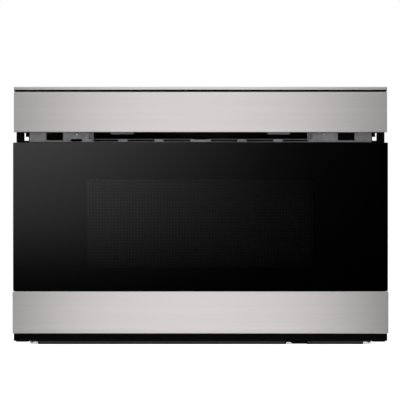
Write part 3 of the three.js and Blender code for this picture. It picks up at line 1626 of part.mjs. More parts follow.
// Fixed shell round the control unit: back wall, top wall with the black front strip, ends and hinge
// brackets.
function controlShell() {
  const wall = FACE_SHEET;
  const top = trimZ - SEAT;
  const half = PANEL_WIDTH / 2 - SEAT;
  const backFoot = panelZ + 1;
  const lip = [
    [SHELL_BACK + wall, backFoot],
    [SHELL_BACK + wall, top],
    [1.5, top],
  ];
  const skin = join(
    alongX(folded(lip, wall), -half, half),
    alongX(rect(1.5, lineZ + 0.6, 4, top), -half, half),
  );
  const cap = polygon([
    [2.5, pivotZ + 9],
    [16, pivotZ + 2],
    [16, panelZ + 1],
    [SHELL_BACK + 1, panelZ + 1],
    [SHELL_BACK + 1, top - 1],
    [PANEL_LIP + 1, top - 1],
    [PANEL_LIP + 1, lineZ - 3],
    [2.5, lineZ - 3],
  ]);
  const capX = bracketX + TILT_MOTOR_LENGTH + 8;
  const web = polygon([
    [PIVOT + 1, pivotZ - 0.5],
    [PIVOT + 11, pivotZ - 0.5],
    [PIVOT + 11, panelZ + 1],
    [SHELL_BACK + 1, panelZ + 1],
    [SHELL_BACK + 1, pivotZ + 34],
    [PIVOT + 24, pivotZ + 38],
    [PIVOT + 2, pivotZ + 38],
    [PIVOT, pivotZ + 18],
    [PIVOT + 1, pivotZ + 2],
  ]);
  const pieces = [];
  [-1, 1].forEach((side) => {
    const between = (a, b) => [side * a, side * b].sort((p, q) => p - q);
    const capSpan = between(capX, capX + wall);
    const webSpan = between(bracketX, bracketX + wall);
    pieces.push(alongX(cap, ...capSpan));
    pieces.push(alongX(web, ...webSpan));
    pieces.push(alongX(disc(PIVOT, pivotZ, PIVOT - SHEET - PLAY, 12), ...webSpan));
  });
  const bores = [-1, 1].flatMap((side) => {
    const span = [side * (bracketX - 1), side * (bracketX + wall + 1)].sort((p, q) => p - q);
    return [
      alongX(disc(PIVOT, pivotZ, HINGE_PIN_RADIUS + SEAT, 10), ...span),
      alongX(disc(tiltY, tiltZ, 3, 10), ...span),
    ];
  });
  const lensHole = alongY(disc(LENS_X, trimZ - SEAT - 1.2, LENS_RADIUS + SEAT / 2, 10), 0, 5);
  return cut(join(skin, ...pieces), ...bores, lensHole);
}

function statusLens() {
  return alongY(disc(LENS_X, trimZ - SEAT - 1.2, LENS_RADIUS, 10), 1.3, 4);
}

function topTrim() {
  const half = PANEL_WIDTH / 2;
  const back = SHELL_BACK + FACE_SHEET;
  const path = [
    [back, topZ],
    [1, topZ],
    [0, topZ - 1],
    [0, trimZ],
    [8, trimZ],
  ];
  const hem = alongX(folded(path, SHEET), -half, half);
  const ends = [-half, half - SHEET].map((x) => alongX(rect(0.5, trimZ, back, topZ - 0.5), x, x + SHEET));
  return join(hem, ...ends);
}

add('base_plate', basePlate(), galvanised);
addPair('side_panel', sidePanel(), galvanised);
add('top_cover', topCover(), galvanised);
add('rear_panel', rearPanel(), galvanised);
add('cord_gland', cordGland(), blackPlastic);
add('front_plate', frontPlate(), galvanised);
addPair('mount_flange', mountFlange(), blackPaint);
add('vent_grille', ventGrille(), galvanised);
add('base_trim', baseTrim(), blackPaint);
add('oven_cavity', ovenCavity(), enamel);
add('antenna_well', antennaWell(), enamel);
add('stirrer_cover', stirrerCover(), ceramic);
add('vent_duct', ventDuct(), galvanised);
add('door_glass', doorGlass(), blackGlass);
add('door_band', doorBand(), brushedSteel);
add('door_frame', doorFrame(), blackPaint);
add('window_screen', windowScreen(), blackPaint);
add('inner_glass', innerGlass(), clearGlass);
add('door_choke', doorChoke(), blackPlastic);
add('drawer_pan', drawerPan(), panPlastic);
add('drawer_tray', drawerTray(), ceramic);
addPair('latch_hook', latchHook(), whitePlastic);
addPair('slide_fixed', slideFixed(), zincSteel);
addPair('slide_middle', slideMiddle(), zincSteel);
addPair('slide_inner', slideInner(), zincSteel);
add('drive_rack', driveRack(), acetal);
add('drive_pinion', drivePinion(), acetal);
add('drive_gearbox', driveGearbox(), blackPlastic);
add('drive_motor', driveMotor(), zincSteel);
addPair('interlock', interlock(), whitePlastic);
add('cavity_lamp', lampHousing(), whitePlastic);
add('waveguide', waveguide(), aluminium);
add('magnetron', magnetron(), aluminium);
add('stirrer_motor', stirrerMotor(), zincSteel);
add('stirrer_antenna', stirrerAntenna(), aluminium);
add('transformer_core', transformerCore(), laminations);
add('transformer_winding', transformerWinding(), copper);
add('capacitor', capacitor(), aluminium);
add('noise_filter', noiseFilter(), circuitBoard);
add('fan_shroud', fanShroud(), blackPlastic);
add('fan_blades', fanBlades(), blackPlastic);
add('fan_motor', fanMotor(), zincSteel);
add('panel_fascia', panelFascia(), brushedSteel);
add('panel_housing', panelHousing(), blackPlastic);
add('touch_glass', touchGlass(), blackGlass);
add('control_board', controlBoard(), circuitBoard);
add('hinge_arm_right', join(hingeArm(), tiltSector()), acetal);
add('hinge_arm_left', mirrored(hingeArm()), acetal);
add('tilt_pinion', tiltPinion(), acetal);
add('tilt_motor', tiltMotor(), zincSteel);
add('control_shell', controlShell(), blackPaint);
add('status_lens', statusLens(), lensPlastic);
add('top_trim', topTrim(), brushedSteel);

const part = new THREE.Group();
part.add(model);

export default part;
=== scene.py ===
import json
import math

import bmesh
import bpy
from mathutils import Matrix, Vector


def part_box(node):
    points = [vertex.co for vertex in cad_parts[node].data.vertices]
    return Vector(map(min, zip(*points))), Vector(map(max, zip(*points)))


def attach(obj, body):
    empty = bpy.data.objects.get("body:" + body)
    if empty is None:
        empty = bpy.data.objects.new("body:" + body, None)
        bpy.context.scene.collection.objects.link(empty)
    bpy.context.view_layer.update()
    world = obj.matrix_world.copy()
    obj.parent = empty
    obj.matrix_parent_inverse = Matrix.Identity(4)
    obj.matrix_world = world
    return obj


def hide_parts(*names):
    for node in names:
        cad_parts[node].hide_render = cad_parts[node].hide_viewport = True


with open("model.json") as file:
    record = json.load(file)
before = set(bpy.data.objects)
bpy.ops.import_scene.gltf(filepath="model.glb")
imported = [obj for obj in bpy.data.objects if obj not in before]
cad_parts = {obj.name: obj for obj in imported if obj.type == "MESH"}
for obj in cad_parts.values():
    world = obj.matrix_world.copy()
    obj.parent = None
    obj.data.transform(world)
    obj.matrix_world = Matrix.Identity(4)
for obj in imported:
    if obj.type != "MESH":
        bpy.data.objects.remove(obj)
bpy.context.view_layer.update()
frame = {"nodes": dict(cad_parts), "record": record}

MM = 0.001
NODES = frame["nodes"]
BODY = {node: body for body, nodes in frame["record"]["behaviour"]["bodies"].items() for node in nodes}
SLOT = {part["node"]: part["material_slot"] for part in frame["record"]["subparts"]}
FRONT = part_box("door_band")[0].y


# ---- Nodes -----------------------------------------------------------------------------------------------

def feed(owner, node, inputs):
    """Sets a node's inputs: each is a value, or the output of another node."""
    links = getattr(owner, "node_tree", owner).links
    for label, value in inputs.items():
        if isinstance(value, bpy.types.NodeSocket):
            links.new(value, node.inputs[label])
        else:
            node.inputs[label].default_value = value


def add_node(owner, kind, inputs=None, **settings):
    """A new node in a material, a world or a tree of geometry nodes."""
    node = getattr(owner, "node_tree", owner).nodes.new(kind)
    for key, value in settings.items():
        setattr(node, key, value)
    feed(owner, node, inputs or {})
    return node


def calculated(owner, operation, first, second):
    """The result of a sum of two values or outputs."""
    return add_node(owner, "ShaderNodeMath", {0: first, 1: second}, operation=operation).outputs["Value"]


def product(owner, first, second):
    return calculated(owner, "MULTIPLY", first, second)


def spread(owner, pattern, low, high, lower=0.3, upper=0.7):
    """The pattern's values between lower and upper, spread from low to high."""
    ramp = add_node(owner, "ShaderNodeMapRange", {
        "Value": pattern, "From Min": lower, "From Max": upper, "To Min": low, "To Max": high})
    return ramp.outputs["Result"]


def placed_pattern(material, stretch=(1, 1, 1), turn=(0, 0, 0)):
    """Object coordinates, stretched to the pattern's own scale."""
    coords = add_node(material, "ShaderNodeTexCoord")
    mapping = add_node(material, "ShaderNodeMapping", {
        "Vector": coords.outputs["Object"], "Scale": stretch, "Rotation": turn})
    return mapping.outputs["Vector"]


def noise_pattern(material, scale, stretch=(1, 1, 1), detail=3):
    noise = add_node(material, "ShaderNodeTexNoise", {
        "Vector": placed_pattern(material, stretch), "Scale": scale, "Detail": detail, "Roughness": 0.6})
    return noise.outputs["Fac"]


# ---- Finishes --------------------------------------------------------------------------------------------

def set_shader(material, inputs):
    """Sets inputs of the finish's own shader."""
    feed(material, material.node_tree.nodes["Principled BSDF"], inputs)


def plain_finish(name, colour, metallic, roughness, **sockets):
    material = bpy.data.materials.new(name)
    material.use_nodes = True
    set_shader(material, {"Base Color": (*colour, 1), "Metallic": metallic, "Roughness": roughness})
    set_shader(material, {socket.replace("_", " "): value for socket, value in sockets.items()})
    return material


def tint(material, factor):
    """The finish's own colour times a grey factor."""
    colour = material.node_tree.nodes["Principled BSDF"].inputs["Base Color"].default_value[:3]
    scaled = add_node(material, "ShaderNodeVectorMath", {0: colour, "Scale": factor}, operation="SCALE")
    set_shader(material, {"Base Color": scaled.outputs["Vector"]})


def relief(material, pattern, depth, strength):
    bump = add_node(material, "ShaderNodeBump", {"Height": pattern, "Distance": depth, "Strength": strength})
    set_shader(material, {"Normal": bump.outputs["Normal"]})


def brushed_finish(name, colour, roughness):
    """Stainless steel ground along X: long fine scratches, slow changes of tone between passes."""
    material = plain_finish(name, colour, 1.0, roughness, Anisotropic=0.75)
    scratches = noise_pattern(material, 1.0, (6, 2600, 2600), detail=4)
    passes = noise_pattern(material, 1.0, (1.2, 130, 130), detail=2)
    smears = noise_pattern(material, 1.0, (5, 9, 9), detail=2)
    tint(material, product(material, spread(material, scratches, 0.955, 1.03),
                           spread(material, passes, 0.985, 1.012)))
    relief(material, scratches, 0.02 * MM, 0.5)
    grain = add_node(material, "ShaderNodeCombineXYZ", {"Y": 0.7, "Z": 0.7})
    set_shader(material, {
        "Roughness": product(material, spread(material, scratches, 0.92 * roughness, 1.1 * roughness),
                             spread(material, smears, 0.97, 1.04)),
        "Tangent": grain.outputs["Vector"],
    })
    return material


def galvanised_finish(name, colour):
    """Hot-dipped sheet: faint crystals a few millimetres across, and cloudy gloss."""
    material = plain_finish(name, colour, 0.85, 0.42)
    crystals = add_node(material, "ShaderNodeTexVoronoi", {"Vector": placed_pattern(material), "Scale": 150})
    tones = add_node(material, "ShaderNodeSeparateColor", {"Color": crystals.outputs["Color"]})
    clouds = noise_pattern(material, 14)
    tint(material, product(material, spread(material, tones.outputs["Red"], 0.93, 1.06, 0, 1),
                           spread(material, clouds, 0.94, 1.05)))
    set_shader(material, {
        "Roughness": product(material, spread(material, tones.outputs["Green"], 0.38, 0.5, 0, 1),
                             spread(material, clouds, 0.93, 1.08)),
    })
    relief(material, noise_pattern(material, 900), 0.03 * MM, 0.25)
    return material


def painted_finish(name, colour, roughness, peel=380, **sockets):
    """Sprayed satin paint with a fine orange peel."""
    material = plain_finish(name, colour, 0.0, roughness, **sockets)
    tint(material, spread(material, noise_pattern(material, 11), 0.92, 1.08))
    sheen = spread(material, noise_pattern(material, 60), roughness - 0.04, roughness + 0.05)
    set_shader(material, {"Roughness": sheen})
    relief(material, noise_pattern(material, peel), 0.06 * MM, 0.3)
    return material


def moulded_finish(name, colour, roughness, grain=1400, depth=0.05 * MM):
    """Moulded plastic with a spark-eroded grain."""
    material = plain_finish(name, colour, 0.0, roughness)
    clouds = noise_pattern(material, 9)
    tint(material, spread(material, clouds, 0.95, 1.05))
    set_shader(material, {"Roughness": spread(material, clouds, roughness - 0.04, roughness + 0.05)})
    relief(material, noise_pattern(material, grain), depth, 0.5)
    return material


def glass_finish(name, colour, transmission):
    """Float glass: no marks, only very slow changes of an almost perfect polish."""
    material = plain_finish(name, colour, 0.0, 0.002, IOR=1.52, Transmission_Weight=transmission)
    set_shader(material, {"Roughness": spread(material, noise_pattern(material, 7), 0.001, 0.003)})
    return material


def door_glass_finish(name, tinted, printed):
    """The door's glass: tinted and clear over the window, black with its back print everywhere else."""
    material = glass_finish(name, tinted, 0.0)
    low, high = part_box("window_screen")
    middle, half = (low + high) / 2, (high - low) / 2
    parts = add_node(material, "ShaderNodeSeparateXYZ", {0: placed_pattern(material)}).outputs
    within = [
        add_node(material, "ShaderNodeMath", {0: parts[axis], 1: centre, 2: reach - 3 * MM},
                 operation="COMPARE").outputs["Value"]
        for axis, centre, reach in (("X", middle.x, half.x), ("Z", middle.z, half.z))
    ]
    window = product(material, *within)
    colours = add_node(material, "ShaderNodeMix", {"Factor": window, "A": (*printed, 1), "B": (*tinted, 1)},
                       data_type="RGBA")
    set_shader(material, {"Transmission Weight": window, "Base Color": colours.outputs["Result"]})
    return material


def rolled_finish(name, colour, roughness, along):
    """Mill-finished or plated metal with faint rolling lines."""
    material = plain_finish(name, colour, 1.0, roughness)
    lines = noise_pattern(material, 1.0, along)
    clouds = noise_pattern(material, 22)
    tint(material, product(material, spread(material, lines, 0.94, 1.04), spread(material, clouds, 0.95, 1.04)))
    set_shader(material, {
        "Roughness": product(material, spread(material, lines, roughness * 0.9, roughness * 1.12),
                             spread(material, clouds, 0.9, 1.15)),
    })
    relief(material, lines, 0.02 * MM, 0.3)
    return material


def banded_finish(name, colour, metallic, roughness, axis, pitch, depth):
    """Stacked laminations or wound wire: ridges at an even pitch along one axis."""
    material = plain_finish(name, colour, metallic, roughness)
    waves = add_node(material, "ShaderNodeTexWave", {
        "Vector": placed_pattern(material), "Scale": 0.314 / pitch, "Distortion": 0.15,
    }, bands_direction=axis, wave_profile="SIN").outputs["Fac"]
    tint(material, spread(material, waves, 0.6, 1.08, 0, 1))
    sheen = spread(material, noise_pattern(material, 90), roughness - 0.08, roughness + 0.08)
    set_shader(material, {"Roughness": sheen})
    relief(material, waves, depth, 0.9)
    return material


def board_finish(name, colour):
    """Solder mask over copper tracks."""
    material = plain_finish(name, colour, 0.0, 0.35)
    tracks = add_node(material, "ShaderNodeTexBrick", {
        "Vector": placed_pattern(material, turn=(0, math.pi / 2, 0)), "Scale": 240, "Mortar Size": 0.09,
        "Color1": (1, 1, 1, 1), "Color2": (0.86, 0.86, 0.86, 1), "Mortar": (1.5, 1.5, 1.5, 1),
    }, offset=0.37, squash=0.6)
    shade = add_node(material, "ShaderNodeSeparateColor", {"Color": tracks.outputs["Color"]})
    tint(material, shade.outputs["Red"])
    relief(material, tracks.outputs["Fac"], 0.05 * MM, 0.4)
    return material


def speckled_finish(name, colour, roughness, fleck):
    """Pale ceramic or heat-proof polymer with sparse darker flecks."""
    material = plain_finish(name, colour, 0.0, roughness)
    flecks = noise_pattern(material, 520, detail=1)
    clouds = noise_pattern(material, 8)
    tint(material, product(material, spread(material, flecks, 1.0, fleck, 0.66, 0.74),
                           spread(material, clouds, 0.975, 1.015)))
    set_shader(material, {"Roughness": spread(material, clouds, roughness - 0.03, roughness + 0.05)})
    relief(material, noise_pattern(material, 700), 0.04 * MM, 0.3)
    return material


def light_finish(name, glow, strength):
    """A dark diffusing lens with a dim light behind it."""
    material = plain_finish(name, (0.004, 0.004, 0.012), 0.0, 0.25, Emission_Strength=strength)
    set_shader(material, {"Emission Color": (*glow, 1)})
    tint(material, spread(material, noise_pattern(material, 400), 0.9, 1.1))
    return material


def painted_lamp_glow(material, lamp, reach, glow, strength):
    """Painted light: an emission on the paint, strongest at the lamp and gone at its reach, that stands for the light a
    small lamp spills round it.
    """
    apart = add_node(material, "ShaderNodeVectorMath", {0: placed_pattern(material), 1: lamp},
                     operation="DISTANCE")
    fading = add_node(material, "ShaderNodeMapRange", {
        "Value": apart.outputs["Value"], "From Max": reach, "To Min": strength, "To Max": 0.0,
    }, interpolation_type="SMOOTHSTEP")
    set_shader(material, {"Emission Color": (*glow, 1), "Emission Strength": fading.outputs["Result"]})


FINISH = {
    "brushed_steel": brushed_finish("brushed_steel", (0.716, 0.706, 0.704), 0.36),
    "galvanised": galvanised_finish("galvanised_sheet", (0.34, 0.345, 0.35)),
    "black_paint": painted_finish("satin_black_paint", (0.003, 0.003, 0.0034), 0.42, Specular_IOR_Level=0.08),
    "black_glass": glass_finish("black_touch_glass", (0.0015, 0.0015, 0.002), 0.0),
    "clear_glass": glass_finish("clear_inner_glass", (0.9, 0.95, 0.94), 1.0),
    "oven_enamel": painted_finish("oven_paint", (0.5, 0.505, 0.49), 0.32, peel=300),
    "pan_polymer": speckled_finish("pan_polymer", (0.68, 0.675, 0.65), 0.42, 0.9),
    "ceramic": speckled_finish("glass_ceramic", (0.78, 0.77, 0.74), 0.16, 0.82),
    "black_plastic": moulded_finish("black_moulding", (0.02, 0.02, 0.021), 0.48),
    "white_plastic": moulded_finish("white_moulding", (0.72, 0.71, 0.68), 0.42),
    "gear_acetal": moulded_finish("natural_acetal", (0.8, 0.79, 0.74), 0.3, 900, 0.02 * MM),
    "zinc_steel": rolled_finish("zinc_plated_steel", (0.62, 0.64, 0.66), 0.3, (500, 14, 500)),
    "aluminium": rolled_finish("mill_aluminium", (0.72, 0.73, 0.74), 0.36, (12, 600, 600)),
    "laminations": banded_finish("core_laminations", (0.085, 0.075, 0.062), 0.6, 0.5, "Y", 1.1 * MM, 0.3 * MM),
    "copper_winding": banded_finish("enamelled_wire", (0.42, 0.13, 0.045), 0.75, 0.33, "Z", 1.2 * MM, 0.5 * MM),
    "circuit_board": board_finish("solder_mask", (0.03, 0.12, 0.045)),
    "lens": light_finish("status_light", (0.2, 0.14, 1.0), 0.06),
}
DOOR_GLASS = door_glass_finish("tinted_door_glass", (0.2, 0.2, 0.215), (0.0003, 0.0003, 0.0004))
PRINT = painted_finish("black_back_print", (0.0008, 0.0008, 0.001), 0.6, 200, Specular_IOR_Level=0.0)
SCREEN_PAINT = painted_finish("screen_paint", (0.1, 0.1, 0.106), 0.5, Specular_IOR_Level=0.1)
LEGEND_INK = painted_finish("legend_ink", (0.62, 0.64, 0.66), 0.5)
# Painted highlight: a paler paint for the skirt's hem that stands in for the light its rounded fold catches.
HEM_HIGHLIGHT_PAINT = painted_finish("hem_painted_highlight", (0.055, 0.055, 0.056), 0.42, Specular_IOR_Level=0.1)
TRIM_PAINT = painted_finish("matt_trim_paint", (0.002, 0.002, 0.0022), 0.5, Specular_IOR_Level=0.03)
# Partly painted shade: the shell's black is kept darker than the satin black paint so that the recess under the top
# trim reads dark. It also carries a painted glow round the status lamp.
SHELL_PAINT_SHADE_AND_GLOW = painted_finish("shell_paint_painted_shade_and_glow", (0.002, 0.002, 0.0022), 0.45, Specular_IOR_Level=0.05)
STATUS_LAMP = sum(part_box("status_lens"), Vector()) / 2
# Painted light: the status lamp's blue glow, painted on the shell round the lens.
painted_lamp_glow(SHELL_PAINT_SHADE_AND_GLOW, STATUS_LAMP, 9 * MM, (0.22, 0.16, 1.0), 0.02)
BALL_STEEL = rolled_finish("bearing_steel", (0.68, 0.69, 0.7), 0.12, (60, 60, 60))
DARK_SCREW = rolled_finish("dark_screw_steel", (0.12, 0.12, 0.125), 0.38, (300, 300, 300))


# ---- Meshes ----------------------------------------------------------------------------------------------

def placed(name, data):
    """An object at the origin that holds the data."""
    obj = bpy.data.objects.new(name, data)
    bpy.context.scene.collection.objects.link(obj)
    return obj


def finished(name, mesh, body, slot, material=None, stands_for=()):
    """A finished piece: its material (its slot's finish unless another is given), its body and the nodes that it stands
    for.
    """
    obj = placed(name, mesh)
    mesh.materials.clear()
    mesh.materials.append(material or FINISH[slot])
    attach(obj, body)
    if stands_for:
        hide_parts(*stands_for)
    return obj


def mesh_of(name, work):
    """The work as a mesh, which ends the work."""
    mesh = bpy.data.meshes.new(name)
    work.to_mesh(mesh)
    work.free()
    return mesh


def smoothed(mesh, angle):
    """Smooth shading, but sharp where the faces turn by more than the angle."""
    mesh.polygons.foreach_set("use_smooth", [True] * len(mesh.polygons))
    mesh.set_sharp_from_angle(angle=math.radians(angle))
    return mesh


def outward_mesh(name, work, smooth_angle=None):
    """The mesh with its normals outward."""
    bmesh.ops.recalc_face_normals(work, faces=work.faces)
    mesh = mesh_of(name, work)
    return smoothed(mesh, smooth_angle) if smooth_angle else mesh


def eased(node, width, material=None):
    """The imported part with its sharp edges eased: a merged copy, bevelled, that stands for the node. Its large flat
    faces keep their own shading."""
    sharp = 38
    work = bmesh.new()
    work.from_mesh(NODES[node].data)
    bmesh.ops.remove_doubles(work, verts=work.verts, dist=2e-6)
    name = node + "_eased"
    obj = finished(name, smoothed(mesh_of(name, work), sharp), BODY[node], SLOT[node], material, (node,))
    bevel = obj.modifiers.new("eased_edges", "BEVEL")
    bevel.width = width
    bevel.segments = 2
    bevel.limit_method = "ANGLE"
    bevel.angle_limit = math.radians(sharp)
    bevel.use_clamp_overlap = False
    flat = obj.modifiers.new("flat_faces", "WEIGHTED_NORMAL")
    flat.weight = 100
    flat.keep_sharp = True


def rounded_outline(x0, y0, x1, y1, radius, steps):
    """The points round a rectangle with rounded corners."""
    points = []
    corners = ((x1, y0, -1, 1), (x1, y1, -1, -1), (x0, y1, 1, -1), (x0, y0, 1, 1))
    for corner, (x, y, in_x, in_y) in enumerate(corners):
        for i in range(steps + 1):
            turn = (corner - 1) * math.pi / 2 + i * math.pi / 2 / steps
            points.append((x + radius * (in_x + math.cos(turn)), y + radius * (in_y + math.sin(turn))))
    return points


def loft(work, rings, closed=False):
    """Quads between rings of the same number of points. A closed loft joins its last ring to its first, any other
    one has a face at each end."""
    made = [[work.verts.new(point) for point in ring] for ring in rings]
    pairs = list(zip(made, made[1:]))
    if closed:
        pairs.append((made[-1], made[0]))
    for low, high in pairs:
        for i in range(len(low)):
            j = (i + 1) % len(low)
            work.faces.new((low[i], low[j], high[j], high[i]))
    if not closed:
        work.faces.new(made[0])
        work.faces.new(made[-1])


def upright_slab(work, outline, front, back, edge):
    """A plate with eased edges that faces the front, from its outline in X and Z."""
    middle_x, middle_z = (sum(values) / len(outline) for values in zip(*outline))

    def ring(y, inset):
        return [(x - inset * math.copysign(1, x - middle_x), y, z - inset * math.copysign(1, z - middle_z))
                for x, z in outline]

    loft(work, [ring(y, inset) for y, inset in (
        (front, edge), (front + edge * 0.3, edge * 0.3), (front + edge, 0),
        (back - edge, 0), (back - edge * 0.3, edge * 0.3), (back, edge))])


def upright_border(name, outer, inner, front, back, slot, finish):
    """A flat frame of the drawer between two outlines in X and Z."""
    work = bmesh.new()
    loft(work, [[(x, y, z) for x, z in outline] for outline, y in
                ((outer, front), (inner, front), (inner, back), (outer, back))], closed=True)
    bmesh.ops.remove_doubles(work, verts=work.verts, dist=1e-6)
    finished(name, outward_mesh(name, work), "drawer", slot, finish)


# ---- Repeated pieces by geometry nodes -------------------------------------------------------------------

def geometry_tree(name, sockets):
    """A tree with the given inputs and a finish, and the outputs of its input node."""
    tree = bpy.data.node_groups.new(name, "GeometryNodeTree")
    for label, kind, value in (*sockets, ("Finish", "Material", None)):
        socket = tree.interface.new_socket(label, in_out="INPUT", socket_type="NodeSocket" + kind)
        if value is not None:
            socket.default_value = value
    tree.interface.new_socket("Mesh", in_out="OUTPUT", socket_type="NodeSocketGeometry")
    return tree, add_node(tree, "NodeGroupInput").outputs


def painted_result(tree, given, geometry):
    """The end of a tree: the finish is set, and the mesh goes out."""
    paint = add_node(tree, "GeometryNodeSetMaterial", {"Geometry": geometry, "Material": given["Finish"]})
    add_node(tree, "NodeGroupOutput", {"Mesh": paint.outputs["Geometry"]})
    return tree


def copies_tree():
    """Copies of one small piece on points, each turned so that its Z follows the point's facing."""
    tree, given = geometry_tree("copies_on_points", (
        ("Points", "Geometry", None), ("Piece", "Object", None), ("Size", "Float", 1.0),
        ("Random turn", "Float", 0.0)))
    facing = add_node(tree, "GeometryNodeInputNamedAttribute", {"Name": "facing"}, data_type="FLOAT_VECTOR")
    align = add_node(tree, "FunctionNodeAlignRotationToVector", {"Vector": facing.outputs["Attribute"]}, axis="Z")
    chance = add_node(tree, "FunctionNodeRandomValue", {"Seed": 7, "Max": given["Random turn"]})
    turn = add_node(tree, "FunctionNodeAxisAngleToRotation", {"Angle": chance.outputs["Value"]})
    turned = add_node(tree, "FunctionNodeRotateRotation", {
        "Rotation": align.outputs["Rotation"], "Rotate By": turn.outputs["Rotation"],
    }, rotation_space="LOCAL")
    source = add_node(tree, "GeometryNodeObjectInfo", {"Object": given["Piece"]})
    place = add_node(tree, "GeometryNodeInstanceOnPoints", {
        "Points": given["Points"], "Instance": source.outputs["Geometry"],
        "Rotation": turned.outputs["Rotation"], "Scale": given["Size"]})
    solid = add_node(tree, "GeometryNodeRealizeInstances", {"Geometry": place.outputs["Instances"]})
    return painted_result(tree, given, solid.outputs["Geometry"])


def plain_mesh(obj):
    """What the object's modifiers or its text come to, as a plain mesh. The object goes."""
    bpy.context.view_layer.update()
    mesh = bpy.data.meshes.new_from_object(obj.evaluated_get(bpy.context.evaluated_depsgraph_get()))
    bpy.data.objects.remove(obj)
    return mesh


def baked(name, start, tree, inputs, body, slot, material, smooth_angle=35, stands_for=()):
    """Runs a tree over a start mesh with its named inputs, and keeps the result as a plain mesh."""
    holder = placed(name + "_start", start)
    modifier = holder.modifiers.new("made", "NODES")
    modifier.node_group = tree
    sockets = {item.name: item.identifier for item in tree.interface.items_tree if item.in_out == "INPUT"}
    for label, value in {**inputs, "Finish": material}.items():
        modifier[sockets[label]] = value
    mesh = plain_mesh(holder)
    mesh.name = name
    return finished(name, smoothed(mesh, smooth_angle), body, slot, material, stands_for)


COPIES = copies_tree()


def point_cloud(name, places):
    """A mesh of loose points, each with the direction it faces."""
    mesh = bpy.data.meshes.new(name)
    mesh.from_pydata([place for place, facing in places], [], [])
    facings = mesh.attributes.new("facing", "FLOAT_VECTOR", "POINT")
    facings.data.foreach_set("vector", [value for place, facing in places for value in facing])
    return mesh


def set_out(name, piece, places, body, slot, material=None, size=1.0, turn=0.0, smooth_angle=35):
    """One piece per point, as one mesh that rides on a body."""
    baked(name, point_cloud(name + "_points", places), COPIES, {"Piece": piece, "Size": size, "Random turn": turn},
          body, slot, material or FINISH[slot], smooth_angle)


def pattern_object(name, work, smooth_angle):
    """A small piece for set_out to copy, removed once its copies are made."""
    return placed(name, outward_mesh(name, work, smooth_angle))


def screw_head(name, radius, height, flange=0.0):
    """Pan head with a cross recess, seated on z = 0."""
    sides = 20
    turns = [2 * math.pi * i / sides for i in range(sides)]
    profile = ((radius + flange, 0), (radius + flange, height * 0.22), (radius, height * 0.34),
               (radius * 0.94, height * 0.72), (radius * 0.74, height * 0.95), (radius * 0.52, height))
    rings = [[(reach * math.cos(turn), reach * math.sin(turn), level) for turn in turns] for reach, level in profile]
    arm, tip = radius * 0.14, radius * 0.46
    cross = []
    for turn in turns:
        c, s = math.cos(turn), math.sin(turn)
        reach = min(tip, arm / max(min(abs(c), abs(s)), 1e-6))
        cross.append((reach * c, reach * s, height))
    rings.append(cross)
    rings.append([(x * 0.7, y * 0.7, height * 0.35) for x, y, z in cross])
    work = bmesh.new()
    loft(work, rings)
    return pattern_object(name, work, 40)


def louvre_hood(name, length, height, reach, across, up):
    """A pressed louvre: the sheet over a slot is drawn outwards towards the slot's lower edge, where it is open, and
    runs back into the panel at both ends. It stands on z = 0, with its length and its upper side along the given
    directions."""
    work = bmesh.new()
    wall, sections, steps = 0.8 * MM, 14, 6
    end_share, end_curve = 0.16, 0.6
    outer, inner = [], []
    for i in range(sections + 1):
        share = 2 * i / sections - 1
        drawn = reach * min(1.0, (1 - abs(share)) / end_share) ** end_curve
        for side, below in ((outer, 0.0), (inner, wall)):
            row = []
            for j in range(steps + 1):
                turn = j * math.pi / 2 / steps
                along_up = height * (2 * math.cos(turn) - 1)
                x, y = (share * length / 2 * a + along_up * b for a, b in zip(across, up))
                row.append(work.verts.new((x, y, drawn * math.sin(turn) - below)))
            side.append(row)
    for i in range(sections):
        for j in range(steps):
            work.faces.new((outer[i][j], outer[i + 1][j], outer[i + 1][j + 1], outer[i][j + 1]))
            work.faces.new((inner[i][j], inner[i][j + 1], inner[i + 1][j + 1], inner[i + 1][j]))
        for j in (0, steps):
            work.faces.new((outer[i][j], outer[i + 1][j], inner[i + 1][j], inner[i][j]))
    for i in (0, sections):
        for j in range(steps):
            work.faces.new((outer[i][j], outer[i][j + 1], inner[i][j + 1], inner[i][j]))
    return pattern_object(name, work, 35)


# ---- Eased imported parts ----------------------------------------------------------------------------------

# The width of the easing in millimetres.
EASE = {
    "side_panel_right": 0.3, "side_panel_left": 0.3, "top_cover": 0.3, "rear_panel": 0.25, "base_plate": 0.3,
    "front_plate": 0.25, "mount_flange_right": 0.25, "mount_flange_left": 0.25, "vent_grille": 0.12,
    "base_trim": 0.12, "oven_cavity": 0.2, "stirrer_cover": 0.3, "vent_duct": 0.25,
    "door_band": 0.45, "door_frame": 0.3, "door_choke": 0.4, "latch_hook_right": 0.4, "latch_hook_left": 0.4,
    "slide_fixed_right": 0.2, "slide_fixed_left": 0.2, "slide_middle_right": 0.2, "slide_middle_left": 0.2,
    "slide_inner_right": 0.2, "slide_inner_left": 0.2, "drive_gearbox": 0.6, "interlock_right": 0.4,
    "interlock_left": 0.4, "waveguide": 0.3, "magnetron": 0.15, "transformer_core": 0.3,
    "transformer_winding": 1.5, "capacitor": 0.3, "fan_shroud": 0.4, "fan_blades": 0.15, "fan_motor": 0.6,
    "drive_motor": 0.5, "stirrer_motor": 0.4, "cavity_lamp": 0.4, "panel_fascia": 0.45, "panel_housing": 0.4,
    "touch_glass": 0.35, "control_board": 0.12, "tilt_motor": 0.3, "control_shell": 0.2, "top_trim": 0.25,
    "cord_gland": 0.5, "antenna_well": 0.3,
}
OWN_FINISH = {"base_trim": TRIM_PAINT, "control_shell": SHELL_PAINT_SHADE_AND_GLOW}
for node, width in EASE.items():
    eased(node, width * MM, OWN_FINISH.get(node))
for node, part in NODES.items():
    part.data.materials.clear()
    part.data.materials.append(FINISH[SLOT[node]])


# ---- Door ------------------------------------------------------------------------------------------------

SCREEN_PITCH, SCREEN_MARGIN = 5 * MM, 4 * MM


